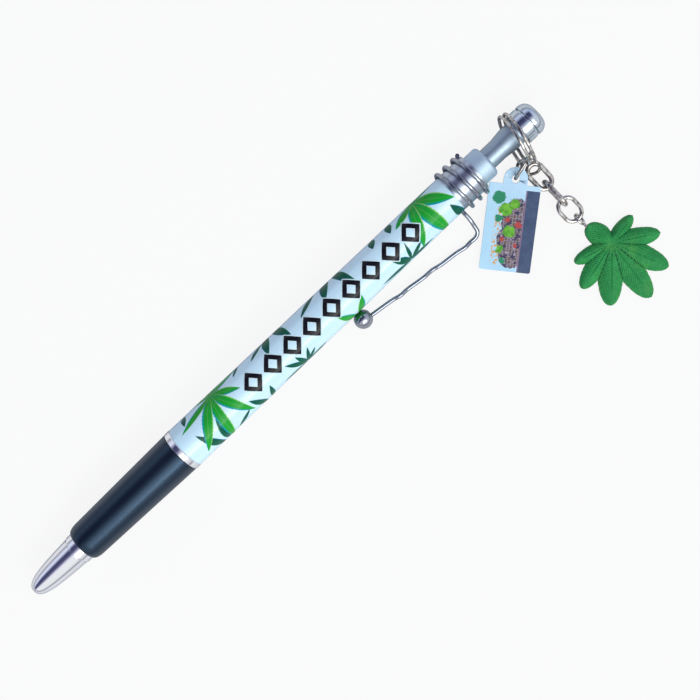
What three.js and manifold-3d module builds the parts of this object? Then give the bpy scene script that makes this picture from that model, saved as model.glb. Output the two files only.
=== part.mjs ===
// A click ball pen with a coiled wire clip, lying on a table, with a tag and a leaf charm on a short chain.
// Millimetres, +Z up. The origin is the centre of the button's flat end, and the pen lies along -X.
import * as THREE from 'three';
import * as BufferGeometryUtils from 'three/addons/utils/BufferGeometryUtils.js';
import Module from 'manifold-3d';

const wasm = await Module();
wasm.setup();

// Driving dimensions. A station is a distance from the writing end, along the pen.
const PEN_LENGTH = 145;
const STROKE = 5;
const SLIDE_GAP = 0.12;
const SEAT_GAP = 0.05;
const SHARED_GAP = 0.3;
const ROUND_SIDES = 28;

// Nose cone
const NOSE_END_RADIUS = 1.25;
const NOSE_MOUTH_RADIUS = 0.95;
const NOSE_MOUTH_LENGTH = 3;
const NOSE_THROAT_RADIUS = 1.35;
const NOSE_RADIUS = 3.3;
const NOSE_LENGTH = 12.3;
const NOSE_GROOVE = 0.4;
const NOSE_GROOVE_DEPTH = 0.15;
const NOSE_COLLAR_RADIUS = 3.45;
const NOSE_COLLAR_LENGTH = 1.6;
const NOSE_SPIGOT_RADIUS = 2.95;
const NOSE_SPIGOT_LENGTH = 7;
const SPRING_SEAT = 7;
const SPRING_BORE_RADIUS = 2.4;

// Grip, its inner tube and the ring behind it
const GRIP_LENGTH = 28.7;
const GRIP_FRONT_RADIUS = 4.3;
const GRIP_REAR_RADIUS = 4.85;
const GRIP_ROUNDING = 2.2;
const GRIP_TUBE_RADIUS = 3.5;
const GRIP_TUBE_BORE = 3;
const GRIP_TUBE_IN_BARREL = 8;
const RING_WIDTH = 1.5;
const RING_RADIUS = 4.92;
const RING_EDGE = 0.2;

// Barrel and the parts at its rear end
const BARREL_FRONT_RADIUS = 4.85;
const BARREL_REAR_RADIUS = 4.3;
const SLEEVE_LENGTH = 6.7;
const SLEEVE_RADIUS = 4.3;
const COLLAR_LENGTH = 3.5;
const COLLAR_RADIUS = 3.6;
const COLLAR_ROUNDING = 0.75;
const HOUSING_RADIUS = 3.45;
const HOUSING_BORE = 3.0;
const HOUSING_INSIDE = 25;

// Click mechanism: ribs in the housing, a toothed crown and a cam rotor
const CAM_COUNT = 4;
const RIB_ANGLE = 46;
const RIB_BORE = 2.45;
const RIB_ROOT = 0.2;
const RIB_LENGTH = 12;
const RIB_CUT_BACK = 1.2;
const ROTOR_PAST_RIBS = 1.7;
const KEY_WIDTH = 1.5;
const KEY_ROOT = 0.5;
const CROWN_RADIUS = 2.3;
const CROWN_WALL = 0.9;
const CROWN_LENGTH = 8;
const CROWN_TEETH = 8;
const TOOTH_DEPTH = 1;
const KEY_LENGTH = 4;
const KEY_SETBACK = 1;
const SPLINE_LENGTH = 2.6;
const ROTOR_FLANGE_RADIUS = 2.05;
const ROTOR_LENGTH = 8.4;
const PILOT_LENGTH = 3;
const REFILL_SOCKET_DEPTH = 3;

// Button, whose shaft stands bare between the collar and the head
const SHAFT_BARE_LENGTH = 8.6;
const SHAFT_RADIUS = 2.35;
const SHAFT_FLARE_RADIUS = 2.68;
const SHAFT_FLARE_START = 3.2;
const SHAFT_FLARE_LENGTH = 2.6;
const HEAD_RADIUS = 3.65;
const HEAD_LENGTH = 5.3;
const HEAD_FLANGE = 2.3;
const HEAD_EDGE = 0.5;
const HEAD_GROOVE = 0.45;
const HEAD_GROOVE_RADIUS = 3.2;
const BUTTON_FACE_RADIUS = 2;
const SHAFT_INSIDE = 12.5;

// Refill and its spring
const POINT_RECESS = 0.7;
const POINT_TAPER = 1.1;
const POINT_NECK_RADIUS = 0.8;
const POINT_NECK_LENGTH = 8;
const POINT_BODY_RADIUS = 1.2;
const POINT_BODY_END = 20;
const POINT_REAR_LENGTH = 4;
const POINT_CHAMFER = 0.3;
const POINT_PLUG_RADIUS = 1;
const POINT_PLUG_LENGTH = 4;
const WRITING_BALL_RADIUS = 0.35;
const WRITING_BALL_SINK = 0.12;
const WRITING_BALL_GAP = 0.04;
const WRITING_BALL_LIP = 0.06;
const REFILL_RADIUS = 1.5;
const REFILL_BORE = 1.05;
const REFILL_STOP = 27.3;
const REFILL_STOP_RADIUS = 2.25;
const REFILL_STOP_WIDTH = 1;
const REFILL_STOP_SLOPE = 0.6;
const SPRING_WIRE = 0.4;
const SPRING_RADIUS = 1.9;
const SPRING_CURLS = 12;

// Wire clip
const CLIP_WIRE = 0.9;
const COIL_GAP = 0.1;
const CLIP_ANGLE = 25;
const COIL_TURNS = 3;
const COIL_PITCH = 2.25;
const COIL_LAST_ADVANCE = 0.85;
const COIL_TOP_FROM_SLEEVE = 1.1;
const ARM_BEND_ANGLE = 20;
const ARM_HEIGHT = 11.1;
const ARM_LENGTH = 30.5;
const ARM_DROP_START = 0.35;
const ARM_WAVE = 0.45;
const BALL_RADIUS = 2.05;
const BALL_SOCKET_GAP = 0.2;
const BALL_SOCKET_DEPTH = 1.6;

// Split ring behind the button's head
const SPLIT_WIRE = 0.72;
const SPLIT_RADIUS = 5.7;
const SPLIT_PITCH = 1.15;
const SPLIT_WRAPS = 1.95;
const SPLIT_CENTRE = [-6.9, -1.2, 0.85];
const SPLIT_TURN = 13;

// Tag and its ring
const TAG_WIDTH = 10.8;
const TAG_LENGTH = 18.2;
const TAG_THICKNESS = 0.8;
const TAG_CORNER = 0.4;
const TAG_EAR_RADIUS = 2.5;
const TAG_EAR_RISE = 1.1;
const TAG_HOLE_RADIUS = 0.85;
const TAG_HOLE = [-11.98, -6.96, -2];
const TAG_DIRECTION = 40.2;
const TAG_SLOPE = 8.5;
const TAG_RING_RADIUS = 3.05;
const TAG_RING_WIRE = 0.8;
const TAG_RING_CENTRE = [-8.98, -5.94, -1.8];
const TAG_RING_DIRECTION = 16.5;

// Chain and leaf charm
const CHAIN_RING_RADIUS = 2.31;
const CHAIN_RING_WIRE = 0.66;
const CHAIN_RING_CENTRE = [-8.33, -6.94, -2.08];
const CHAIN_RING_TURNS = [55.67, -8.53, -48.25];
const LINK_1 = { halfWidth: 1.65, halfLength: 3.0, wire: 1.15, lean: 6.2, face: 0 };
const LINK_1_CENTRE = [-7.9, -9.95, -3.09];
const LINK_2 = { halfWidth: 1.5, halfLength: 3.2, wire: 1.05, lean: 0, face: 90 };
const LINK_2_CENTRE = [-7.95, -14.7, -3.25];
const LINK_3 = { halfWidth: 1.95, halfLength: 2.7, wire: 0.9, lean: 5, face: 0 };
const LINK_3_CENTRE = [-7.95, -19.3, -3.7];

// Leaf: its lobes are shares of the longest lobe's length and of the widest one's half width
const LEAF_REACH = 14.1;
const LEAF_LOBE_HALF_WIDTH = 2.8;
const LEAF_CENTRE = [-6.5, -30.3];
const LEAF_EYE = { radius: 1.2, wire: 0.65, centre: [-7.85, -22.15, -3.95], turn: 60 };
const LEAF_EYE_SHANK = 2.2;
const LEAF_EYE_GAP = 0.2;
const LEAF_THICKNESS = 2.6;
const LEAF_EDGE = 1;
const LEAF_BOSS_RADIUS = 1.9;
const LEAF_BOSS_FOOT_RADIUS = 2.3;
const LEAF_LOBES = [
  { angle: 9, reach: 0.511, swell: 0.571 },
  { angle: -31.6, reach: 0.745, swell: 0.768 },
  { angle: -66, reach: 0.918, swell: 0.929 },
  { angle: -96.8, reach: 1, swell: 1 },
  { angle: -133.4, reach: 0.929, swell: 0.982 },
  { angle: -165.4, reach: 0.794, swell: 0.786 },
  { angle: 165, reach: 0.603, swell: 0.607 },
  { angle: 101, reach: 0.44, swell: 0.857 },
];

// Stations and radii that follow from the driving dimensions
const noseCollarStart = NOSE_LENGTH + NOSE_GROOVE;
const gripFront = noseCollarStart + NOSE_COLLAR_LENGTH;
const gripRear = gripFront + GRIP_LENGTH;
const barrelFront = gripRear + RING_WIDTH;
const headFront = PEN_LENGTH - HEAD_LENGTH;
const collarRear = headFront - SHAFT_BARE_LENGTH;
const collarFront = collarRear - COLLAR_LENGTH;
const barrelRear = collarFront - SLEEVE_LENGTH;
const shaftFront = collarRear - SHAFT_INSIDE;
const crownFront = shaftFront - CROWN_LENGTH;
const rotorRear = crownFront - SHARED_GAP;
const rotorFront = rotorRear - ROTOR_LENGTH;
const ribFront = rotorRear - STROKE + ROTOR_PAST_RIBS;
const crownBore = CROWN_RADIUS - CROWN_WALL;
const refillRear = rotorFront + REFILL_SOCKET_DEPTH - SEAT_GAP;
const collarBore = SHAFT_FLARE_RADIUS + SLIDE_GAP;
const coilRadius = SLEEVE_RADIUS + COIL_GAP + CLIP_WIRE / 2;
const tableHeight = -(coilRadius + CLIP_WIRE / 2);
const degrees = Math.PI / 180;

const fromNose = (station) => station - PEN_LENGTH;
const barrelRadiusAt = (station) => {
  const share = (station - barrelFront) / (barrelRear - barrelFront);
  return BARREL_FRONT_RADIUS + (BARREL_REAR_RADIUS - BARREL_FRONT_RADIUS) * share;
};

// Shared vertices are merged, flat triangles dropped and the faces turned outward
function closed(geometry) {
  const bare = new THREE.BufferGeometry();
  bare.setAttribute('position', geometry.getAttribute('position').clone());
  if (geometry.index) {
    bare.setIndex(geometry.index.clone());
  }
  const merged = BufferGeometryUtils.mergeVertices(bare, 1e-4);
  const place = merged.getAttribute('position');
  const corners = [new THREE.Vector3(), new THREE.Vector3(), new THREE.Vector3()];
  const kept = [];
  let volume = 0;
  for (let i = 0; i < merged.index.count; i += 3) {
    const ids = [0, 1, 2].map((k) => merged.index.getX(i + k));
    if (new Set(ids).size === 3) {
      ids.forEach((id, k) => corners[k].fromBufferAttribute(place, id));
      volume += corners[0].dot(corners[1].clone().cross(corners[2]));
      kept.push(ids);
    }
  }
  const outward = volume > 0 ? kept : kept.map(([a, b, c]) => [a, c, b]);
  merged.setIndex(outward.flat());
  return merged;
}

function toManifold(geometry) {
  const merged = closed(geometry);
  const solid = new wasm.Mesh({
    numProp: 3,
    vertProperties: new Float32Array(merged.getAttribute('position').array),
    triVerts: new Uint32Array(merged.index.array),
  });
  return new wasm.Manifold(solid);
}

function fromManifold(manifold) {
  const solid = manifold.getMesh();
  const geometry = new THREE.BufferGeometry();
  geometry.setAttribute('position', new THREE.BufferAttribute(new Float32Array(solid.vertProperties), 3));
  geometry.setIndex(new THREE.BufferAttribute(new Uint32Array(solid.triVerts), 1));
  return geometry;
}

// A turned piece: its outline is a closed list of [station, radius]
function turned(outline) {
  const loop = [...outline, outline[0]];
  const points = loop.map(([station, radius]) => new THREE.Vector2(radius, fromNose(station)));
  const geometry = new THREE.LatheGeometry(points, ROUND_SIDES);
  geometry.rotateZ(-Math.PI / 2);
  return closed(geometry);
}

// A quarter of an ellipse between two points of an outline, bulging away from the pen's axis.
// It leaves the first point square to the axis where steepFirst is true, and along the axis otherwise.
function quarter([fromStation, fromRadius], [toStation, toRadius], steepFirst, steps = 5) {
  const points = [];
  for (let i = 0; i <= steps; i += 1) {
    const turn = (i / steps) * Math.PI * 0.5;
    const along = steepFirst ? 1 - Math.cos(turn) : Math.sin(turn);
    const out = steepFirst ? Math.sin(turn) : 1 - Math.cos(turn);
    const station = fromStation + (toStation - fromStation) * along;
    points.push([station, fromRadius + (toRadius - fromRadius) * out]);
  }
  return points;
}

function wireSection(diameter, sides) {
  const section = new THREE.Shape();
  for (let i = 0; i < sides; i += 1) {
    const turn = (i / sides) * 2 * Math.PI;
    const x = Math.cos(turn) * diameter * 0.5;
    const y = Math.sin(turn) * diameter * 0.5;
    if (i === 0) {
      section.moveTo(x, y);
    } else {
      section.lineTo(x, y);
    }
  }
  section.closePath();
  return section;
}

// Wire along an open curve
function wire(path, diameter, steps, sides) {
  const options = { extrudePath: path, steps, bevelEnabled: false };
  return closed(new THREE.ExtrudeGeometry(wireSection(diameter, sides), options));
}

// Least gap between stretches of one wire that lie more than half a turn apart
function leastGap(name, path, diameter, steps, stepsPerTurn) {
  const points = path.getSpacedPoints(steps);
  let least = Infinity;
  for (let i = 0; i < points.length; i += 1) {
    for (let j = i + Math.round(stepsPerTurn / 2); j < points.length; j += 1) {
      least = Math.min(least, points[i].distanceTo(points[j]));
    }
  }
  console.log(`${name}: least gap to itself ${(least - diameter).toFixed(2)} mm`);
}

class Helix extends THREE.Curve {
  constructor(placeAt) {
    super();
    this.placeAt = placeAt;
  }

  getPoint(share, target = new THREE.Vector3()) {
    return target.copy(this.placeAt(share));
  }
}

// A point at a station, a distance from the pen's axis, at an angle from +Y towards +Z
function around(station, radius, angle) {
  return new THREE.Vector3(
    fromNose(station),
    radius * Math.cos(angle * degrees),
    radius * Math.sin(angle * degrees),
  );
}

// A chain link in its own XY plane, long along Y: two straight sides and two round ends
function linkGeometry({ halfWidth, halfLength, wire: diameter }, steps = 24, sides = 6) {
  const straight = halfLength - halfWidth;
  const positions = [];
  const index = [];
  for (let i = 0; i < steps; i += 1) {
    const turn = ((i + 0.5) / steps) * 2 * Math.PI;
    const out = new THREE.Vector2(Math.cos(turn), Math.sin(turn));
    const centre = new THREE.Vector2(out.x * halfWidth, out.y * halfWidth + Math.sign(out.y) * straight);
    for (let k = 0; k < sides; k += 1) {
      const roll = (k / sides) * 2 * Math.PI;
      const aside = Math.cos(roll) * diameter * 0.5;
      positions.push(centre.x + out.x * aside, centre.y + out.y * aside, Math.sin(roll) * diameter * 0.5);
      const next = (k + 1) % sides;
      const ahead = ((i + 1) % steps) * sides;
      index.push(i * sides + k, ahead + k, ahead + next, i * sides + k, ahead + next, i * sides + next);
    }
  }
  const geometry = new THREE.BufferGeometry();
  geometry.setAttribute('position', new THREE.Float32BufferAttribute(positions, 3));
  geometry.setIndex(index);
  return closed(geometry);
}

// Finishes
const finish = (color, roughness, metalness) => () => (
  new THREE.MeshStandardMaterial({ color, roughness, metalness })
);
const chrome = finish(0xb9bcc8, 0.1, 1);
const satinSilver = finish(0x9aa3b5, 0.35, 0.9);
const springSteel = finish(0x8d929c, 0.25, 1);
const nickel = finish(0xa3a19b, 0.25, 1);
const blackRubber = finish(0x14171d, 0.6, 0);
const whiteGloss = finish(0xdff2f5, 0.15, 0);
const innerPlastic = finish(0xe8e8e4, 0.5, 0);
const blackPlastic = finish(0x202226, 0.45, 0);
const brass = finish(0xc9a55a, 0.25, 1);
const printedTag = finish(0x9ccdf2, 0.3, 0);
const greenResin = finish(0x2f9a55, 0.6, 0);

const pen = new THREE.Group();

function add(name, geometry, material, parent = pen) {
  const mesh = new THREE.Mesh(geometry, material());
  mesh.name = name;
  parent.add(mesh);
  return mesh;
}

function noseCone() {
  const curve = new THREE.CubicBezierCurve(
    new THREE.Vector2(0.15, NOSE_END_RADIUS),
    new THREE.Vector2(NOSE_LENGTH * 0.1, NOSE_RADIUS * 0.85),
    new THREE.Vector2(NOSE_LENGTH * 0.57, NOSE_RADIUS * 0.9),
    new THREE.Vector2(NOSE_LENGTH, NOSE_RADIUS),
  );
  const spigotEnd = gripFront + NOSE_SPIGOT_LENGTH;
  return turned([
    [0, NOSE_MOUTH_RADIUS],
    [0, NOSE_END_RADIUS - 0.15],
    ...curve.getPoints(11).map((p) => [p.x, p.y]),
    [NOSE_LENGTH + 0.05, NOSE_RADIUS - NOSE_GROOVE_DEPTH],
    [noseCollarStart - 0.05, NOSE_RADIUS - NOSE_GROOVE_DEPTH],
    [noseCollarStart, NOSE_COLLAR_RADIUS],
    [gripFront, NOSE_COLLAR_RADIUS],
    [gripFront, NOSE_SPIGOT_RADIUS],
    [spigotEnd, NOSE_SPIGOT_RADIUS],
    [spigotEnd, SPRING_BORE_RADIUS],
    [SPRING_SEAT, SPRING_BORE_RADIUS],
    [SPRING_SEAT, NOSE_THROAT_RADIUS],
    [NOSE_MOUTH_LENGTH, NOSE_THROAT_RADIUS],
    [NOSE_MOUTH_LENGTH, NOSE_MOUTH_RADIUS],
  ]);
}

function rubberGrip() {
  const bore = GRIP_TUBE_RADIUS + SEAT_GAP;
  return turned([
    [gripFront, bore],
    ...quarter([gripFront, bore + 0.1], [gripFront + GRIP_ROUNDING, GRIP_FRONT_RADIUS], true),
    [gripRear, GRIP_REAR_RADIUS],
    [gripRear, bore],
  ]);
}

function gripTube() {
  const end = barrelFront + GRIP_TUBE_IN_BARREL;
  return turned([
    [gripFront, GRIP_TUBE_BORE],
    [gripFront, GRIP_TUBE_RADIUS],
    [end, GRIP_TUBE_RADIUS],
    [end, GRIP_TUBE_BORE],
  ]);
}

function gripRing() {
  const bore = GRIP_TUBE_RADIUS + SEAT_GAP;
  return turned([
    [gripRear, bore],
    [gripRear, RING_RADIUS - RING_EDGE],
    [gripRear + RING_EDGE, RING_RADIUS],
    [barrelFront - RING_EDGE, RING_RADIUS],
    [barrelFront, RING_RADIUS - RING_EDGE],
    [barrelFront, bore],
  ]);
}

function barrel() {
  const bore = GRIP_TUBE_RADIUS + SEAT_GAP;
  return turned([
    [barrelFront, bore],
    [barrelFront, barrelRadiusAt(barrelFront)],
    [barrelRear, barrelRadiusAt(barrelRear)],
    [barrelRear, bore],
  ]);
}

function coilSleeve() {
  const bore = HOUSING_RADIUS + SEAT_GAP;
  return turned([
    [barrelRear, bore],
    [barrelRear, SLEEVE_RADIUS],
    [collarFront, SLEEVE_RADIUS],
    [collarFront, bore],
  ]);
}

// One guide rib of the housing: a sector of a ring whose front face is cut back to a slope
function guideRib(middleAngle) {
  const half = (RIB_ANGLE / 2) * degrees;
  const section = new THREE.Shape();
  const outer = HOUSING_BORE + RIB_ROOT;
  section.absarc(0, 0, outer, -half, half, false);
  section.absarc(0, 0, RIB_BORE, half, -half, true);
  section.closePath();
  const options = { depth: RIB_LENGTH, bevelEnabled: false, curveSegments: 4 };
  const geometry = new THREE.ExtrudeGeometry(section, options);
  geometry.rotateY(Math.PI / 2);
  const place = geometry.getAttribute('position');
  for (let i = 0; i < place.count; i += 1) {
    if (place.getX(i) < RIB_LENGTH / 2) {
      const lean = Math.atan2(place.getY(i), -place.getZ(i)) / half;
      place.setX(i, place.getX(i) + RIB_CUT_BACK * (0.5 + 0.5 * lean));
    }
  }
  geometry.rotateX(middleAngle * degrees);
  geometry.translate(fromNose(ribFront), 0, 0);
  return toManifold(geometry);
}

function camHousing() {
  const roundingStart = collarRear - COLLAR_ROUNDING;
  const endRadius = COLLAR_RADIUS - COLLAR_ROUNDING;
  let housing = toManifold(turned([
    [collarFront - HOUSING_INSIDE, HOUSING_BORE],
    [collarFront - HOUSING_INSIDE, HOUSING_RADIUS],
    [collarFront, HOUSING_RADIUS],
    [collarFront, COLLAR_RADIUS],
    ...quarter([roundingStart, COLLAR_RADIUS], [collarRear, endRadius], false, 4),
    [collarRear, collarBore],
    [collarFront, collarBore],
    [collarFront, HOUSING_BORE],
  ]));
  for (let i = 0; i < CAM_COUNT; i += 1) {
    housing = housing.add(guideRib((i + 0.5) * (360 / CAM_COUNT)));
  }
  return fromManifold(housing);
}

// Keys or splines that run in the slots between the ribs
function keys(start, length) {
  const reach = Math.sqrt((HOUSING_BORE - SLIDE_GAP) ** 2 - (KEY_WIDTH / 2) ** 2);
  const inside = CROWN_RADIUS - KEY_ROOT;
  let all = null;
  for (let i = 0; i < CAM_COUNT; i += 1) {
    const block = new THREE.BoxGeometry(length, reach - inside, KEY_WIDTH);
    block.translate(fromNose(start) + length / 2, (reach + inside) / 2, 0);
    block.rotateX(i * (360 / CAM_COUNT) * degrees);
    all = all ? all.add(toManifold(block)) : toManifold(block);
  }
  return all;
}

// A ring of wedges: each tooth is a triangle in the unrolled rim, pointing to the front
function crownTeeth(base, depth, radius, bore) {
  const pitch = (2 * Math.PI) / CROWN_TEETH;
  const lap = 0.4;
  const section = [[0.02, -lap], [0.98, -lap], [0.98, 0], [0.5, depth], [0.02, 0]];
  let all = null;
  for (let i = 0; i < CROWN_TEETH; i += 1) {
    const positions = [];
    const at = (turn, r, back) => {
      const angle = (i + turn) * pitch;
      return [fromNose(base) - back, r * Math.cos(angle), r * Math.sin(angle)];
    };
    section.forEach(([turn, back]) => {
      positions.push(...at(turn, bore, back), ...at(turn, radius, back));
    });
    const index = [];
    for (let k = 0; k < section.length; k += 1) {
      const a = 2 * k;
      const b = 2 * ((k + 1) % section.length);
      index.push(a, b, b + 1, a, b + 1, a + 1);
    }
    for (let k = 1; k < section.length - 1; k += 1) {
      index.push(0, 2 * (k + 1), 2 * k);
      index.push(1, 2 * k + 1, 2 * (k + 1) + 1);
    }
    const tooth = new THREE.BufferGeometry();
    tooth.setAttribute('position', new THREE.Float32BufferAttribute(positions, 3));
    tooth.setIndex(index);
    all = all ? all.add(toManifold(tooth)) : toManifold(tooth);
  }
  return all;
}

// The plastic crown under the button's shaft: keys that run in the slots, and teeth that turn the rotor
function thrustCrown() {
  const teethBase = crownFront + TOOTH_DEPTH;
  const body = toManifold(turned([
    [teethBase, crownBore],
    [teethBase, CROWN_RADIUS],
    [shaftFront, CROWN_RADIUS],
    [shaftFront, crownBore],
  ]));
  return fromManifold(body
    .add(keys(teethBase + KEY_SETBACK, KEY_LENGTH))
    .add(crownTeeth(teethBase, TOOTH_DEPTH, CROWN_RADIUS, crownBore)));
}

// The rotor that the crown turns by a step at each click, with a socket for the refill
function camRotor() {
  const shoulder = rotorRear - SPLINE_LENGTH;
  const socket = REFILL_RADIUS + SEAT_GAP;
  const pilot = crownBore - SLIDE_GAP;
  const body = toManifold(turned([
    [rotorFront, socket],
    [rotorFront, ROTOR_FLANGE_RADIUS],
    [shoulder, ROTOR_FLANGE_RADIUS],
    [shoulder, CROWN_RADIUS],
    [rotorRear, CROWN_RADIUS],
    [rotorRear, pilot],
    [rotorRear + PILOT_LENGTH, pilot],
    [rotorRear + PILOT_LENGTH, 0],
    [rotorFront + REFILL_SOCKET_DEPTH, 0],
    [rotorFront + REFILL_SOCKET_DEPTH, socket],
  ]));
  return fromManifold(body.add(keys(shoulder, SPLINE_LENGTH)));
}

function plunger() {
  const flareStart = collarRear + SHAFT_FLARE_START;
  const neckEnd = headFront + HEAD_FLANGE + HEAD_GROOVE;
  return turned([
    [shaftFront, 0],
    [shaftFront, SHAFT_RADIUS],
    [flareStart, SHAFT_RADIUS],
    [flareStart + SHAFT_FLARE_LENGTH, SHAFT_FLARE_RADIUS],
    [headFront, SHAFT_FLARE_RADIUS],
    ...quarter([headFront, HEAD_RADIUS - HEAD_EDGE], [headFront + HEAD_EDGE, HEAD_RADIUS], true, 4),
    [headFront + HEAD_FLANGE, HEAD_RADIUS],
    [headFront + HEAD_FLANGE, HEAD_GROOVE_RADIUS],
    [neckEnd, HEAD_GROOVE_RADIUS],
    [neckEnd, 0],
  ]);
}

function buttonCap() {
  const start = headFront + HEAD_FLANGE + HEAD_GROOVE;
  return turned([
    [start, 0],
    [start, HEAD_RADIUS - 0.1],
    [start + 0.1, HEAD_RADIUS],
    ...quarter([start + HEAD_EDGE, HEAD_RADIUS], [PEN_LENGTH, BUTTON_FACE_RADIUS], false, 6),
    [PEN_LENGTH, 0],
  ]);
}

function refillPoint() {
  const front = POINT_RECESS + WRITING_BALL_RADIUS + WRITING_BALL_SINK;
  const neckEnd = POINT_RECESS + POINT_NECK_LENGTH;
  const rearStart = POINT_BODY_END - POINT_REAR_LENGTH;
  const body = toManifold(turned([
    [front, 0],
    [front, WRITING_BALL_RADIUS + WRITING_BALL_LIP],
    [front + POINT_TAPER, POINT_NECK_RADIUS],
    [neckEnd, POINT_NECK_RADIUS],
    [neckEnd + POINT_TAPER, POINT_BODY_RADIUS],
    [rearStart, POINT_BODY_RADIUS],
    [rearStart + POINT_CHAMFER, REFILL_RADIUS],
    [POINT_BODY_END, REFILL_RADIUS],
    [POINT_BODY_END, POINT_PLUG_RADIUS],
    [POINT_BODY_END + POINT_PLUG_LENGTH, POINT_PLUG_RADIUS],
    [POINT_BODY_END + POINT_PLUG_LENGTH, 0],
  ]));
  const socket = new THREE.SphereGeometry(WRITING_BALL_RADIUS + WRITING_BALL_GAP, 12, 8);
  socket.translate(fromNose(POINT_RECESS + WRITING_BALL_RADIUS), 0, 0);
  return fromManifold(body.subtract(toManifold(socket)));
}

function writingBall() {
  const ball = new THREE.SphereGeometry(WRITING_BALL_RADIUS, 12, 8);
  ball.translate(fromNose(POINT_RECESS + WRITING_BALL_RADIUS), 0, 0);
  return closed(ball);
}

function refillTube() {
  return turned([
    [POINT_BODY_END, REFILL_BORE],
    [POINT_BODY_END, REFILL_RADIUS],
    [REFILL_STOP, REFILL_RADIUS],
    [REFILL_STOP, REFILL_STOP_RADIUS],
    [REFILL_STOP + REFILL_STOP_WIDTH, REFILL_STOP_RADIUS],
    [REFILL_STOP + REFILL_STOP_WIDTH + REFILL_STOP_SLOPE, REFILL_RADIUS],
    [refillRear, REFILL_RADIUS],
    [refillRear, REFILL_BORE],
  ]);
}

// Return spring between the nose cone's seat and the stop on the refill
function returnSpring() {
  const start = SPRING_SEAT + SPRING_WIRE * 0.5 + SEAT_GAP;
  const end = REFILL_STOP - SPRING_WIRE * 0.5 - SEAT_GAP;
  const path = new Helix((share) => around(
    start + (end - start) * share,
    SPRING_RADIUS,
    share * SPRING_CURLS * 360,
  ));
  const steps = Math.round(SPRING_CURLS * 8);
  leastGap('return_spring', path, SPRING_WIRE, steps, 8);
  return wire(path, SPRING_WIRE, steps, 5);
}

// The clip's coil starts beside the arm, goes under the barrel and ends on the far side
const coilTop = barrelRear + COIL_TOP_FROM_SLEEVE;
const armAngle = 180 + CLIP_ANGLE;
const coilStartAngle = armAngle + ARM_BEND_ANGLE;
const coilTopAngle = 450;
const coilLastTop = coilTopAngle + 360 * (COIL_TURNS - 1);
const coilEndAngle = 360 * (COIL_TURNS + 1);
const coilStationAt = (angle) => {
  const wound = coilTop + (COIL_PITCH * (Math.min(angle, coilLastTop) - coilTopAngle)) / 360;
  const last = Math.max(0, angle - coilLastTop) / (coilEndAngle - coilLastTop);
  return wound + COIL_LAST_ADVANCE * last;
};

function clipCoil() {
  const path = new Helix((share) => {
    const angle = coilStartAngle + (coilEndAngle - coilStartAngle) * share;
    return around(coilStationAt(angle), coilRadius, angle);
  });
  const steps = Math.round(((coilEndAngle - coilStartAngle) / 360) * 24);
  leastGap('clip_coil', path, CLIP_WIRE, steps, 24);
  return wire(path, CLIP_WIRE, steps, 6);
}

// The arm leaves the coil, stands out from the barrel, and runs towards the nose with three small waves
const armStation = coilStationAt(coilStartAngle) - 0.1;
const ballStation = armStation - ARM_LENGTH;
const ballHeight = barrelRadiusAt(ballStation) + BALL_RADIUS + SHARED_GAP;

function armPath() {
  const gapAngle = (SHARED_GAP / coilRadius) / degrees;
  const start = coilStartAngle - gapAngle;
  const aside = (station, height, shift) => {
    const point = around(station, height, armAngle);
    point.y += shift * Math.sin(armAngle * degrees);
    point.z -= shift * Math.cos(armAngle * degrees);
    return point;
  };
  const arm = (share, shift) => {
    const fall = Math.max(0, share - ARM_DROP_START * 0.2) ** 1.15;
    return aside(armStation - ARM_LENGTH * share, ARM_HEIGHT + (ballHeight - ARM_HEIGHT) * fall, shift);
  };
  return new THREE.CatmullRomCurve3([
    around(armStation, coilRadius, start),
    around(armStation, coilRadius + 0.12, start - 6),
    around(armStation, coilRadius + 0.75, armAngle + 4),
    aside(armStation, coilRadius + 2.2, 0),
    aside(armStation - 0.2, ARM_HEIGHT - 2.2, 0),
    aside(armStation - 0.5, ARM_HEIGHT - 0.7, 0),
    aside(armStation - 1.5, ARM_HEIGHT - 0.05, 0),
    arm(0.1, 0),
    arm(0.15, ARM_WAVE),
    arm(0.22, 0),
    arm(0.36, 0),
    arm(0.42, -ARM_WAVE),
    arm(0.5, 0),
    arm(0.64, 0),
    arm(0.7, ARM_WAVE),
    arm(0.76, 0),
    arm(1 - BALL_RADIUS / ARM_LENGTH, 0),
  ], false, 'centripetal');
}

function clipArm() {
  return wire(armPath(), CLIP_WIRE, 60, 6);
}

function clipBall() {
  const ball = new THREE.SphereGeometry(BALL_RADIUS, 20, 14);
  ball.rotateZ(Math.PI / 2);
  const centre = around(ballStation, ballHeight, armAngle);
  ball.translate(centre.x, centre.y, centre.z);
  const end = armPath().getPoint(1);
  const socketRadius = CLIP_WIRE / 2 + BALL_SOCKET_GAP;
  const socket = new THREE.CylinderGeometry(socketRadius, socketRadius, BALL_SOCKET_DEPTH, 12);
  socket.rotateZ(Math.PI / 2);
  socket.translate(end.x + BALL_SOCKET_DEPTH / 2 - SHARED_GAP, end.y, end.z);
  return fromManifold(toManifold(ball).subtract(toManifold(socket)));
}

// Split ring: two wraps of one wire, its plane a little turned from square to the pen
function splitRing() {
  const path = new Helix((share) => {
    const angle = (200 + share * SPLIT_WRAPS * 360) * degrees;
    return new THREE.Vector3(
      SPLIT_PITCH * SPLIT_WRAPS * (share - 0.5),
      SPLIT_RADIUS * Math.cos(angle),
      SPLIT_RADIUS * Math.sin(angle),
    );
  });
  const steps = Math.round(SPLIT_WRAPS * 24);
  leastGap('split_ring', path, SPLIT_WIRE, steps, 24);
  return wire(path, SPLIT_WIRE, steps, 6);
}

function place(mesh, [x, y, z], rotation) {
  mesh.position.set(x, y, z);
  mesh.rotation.set(...rotation);
}

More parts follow.
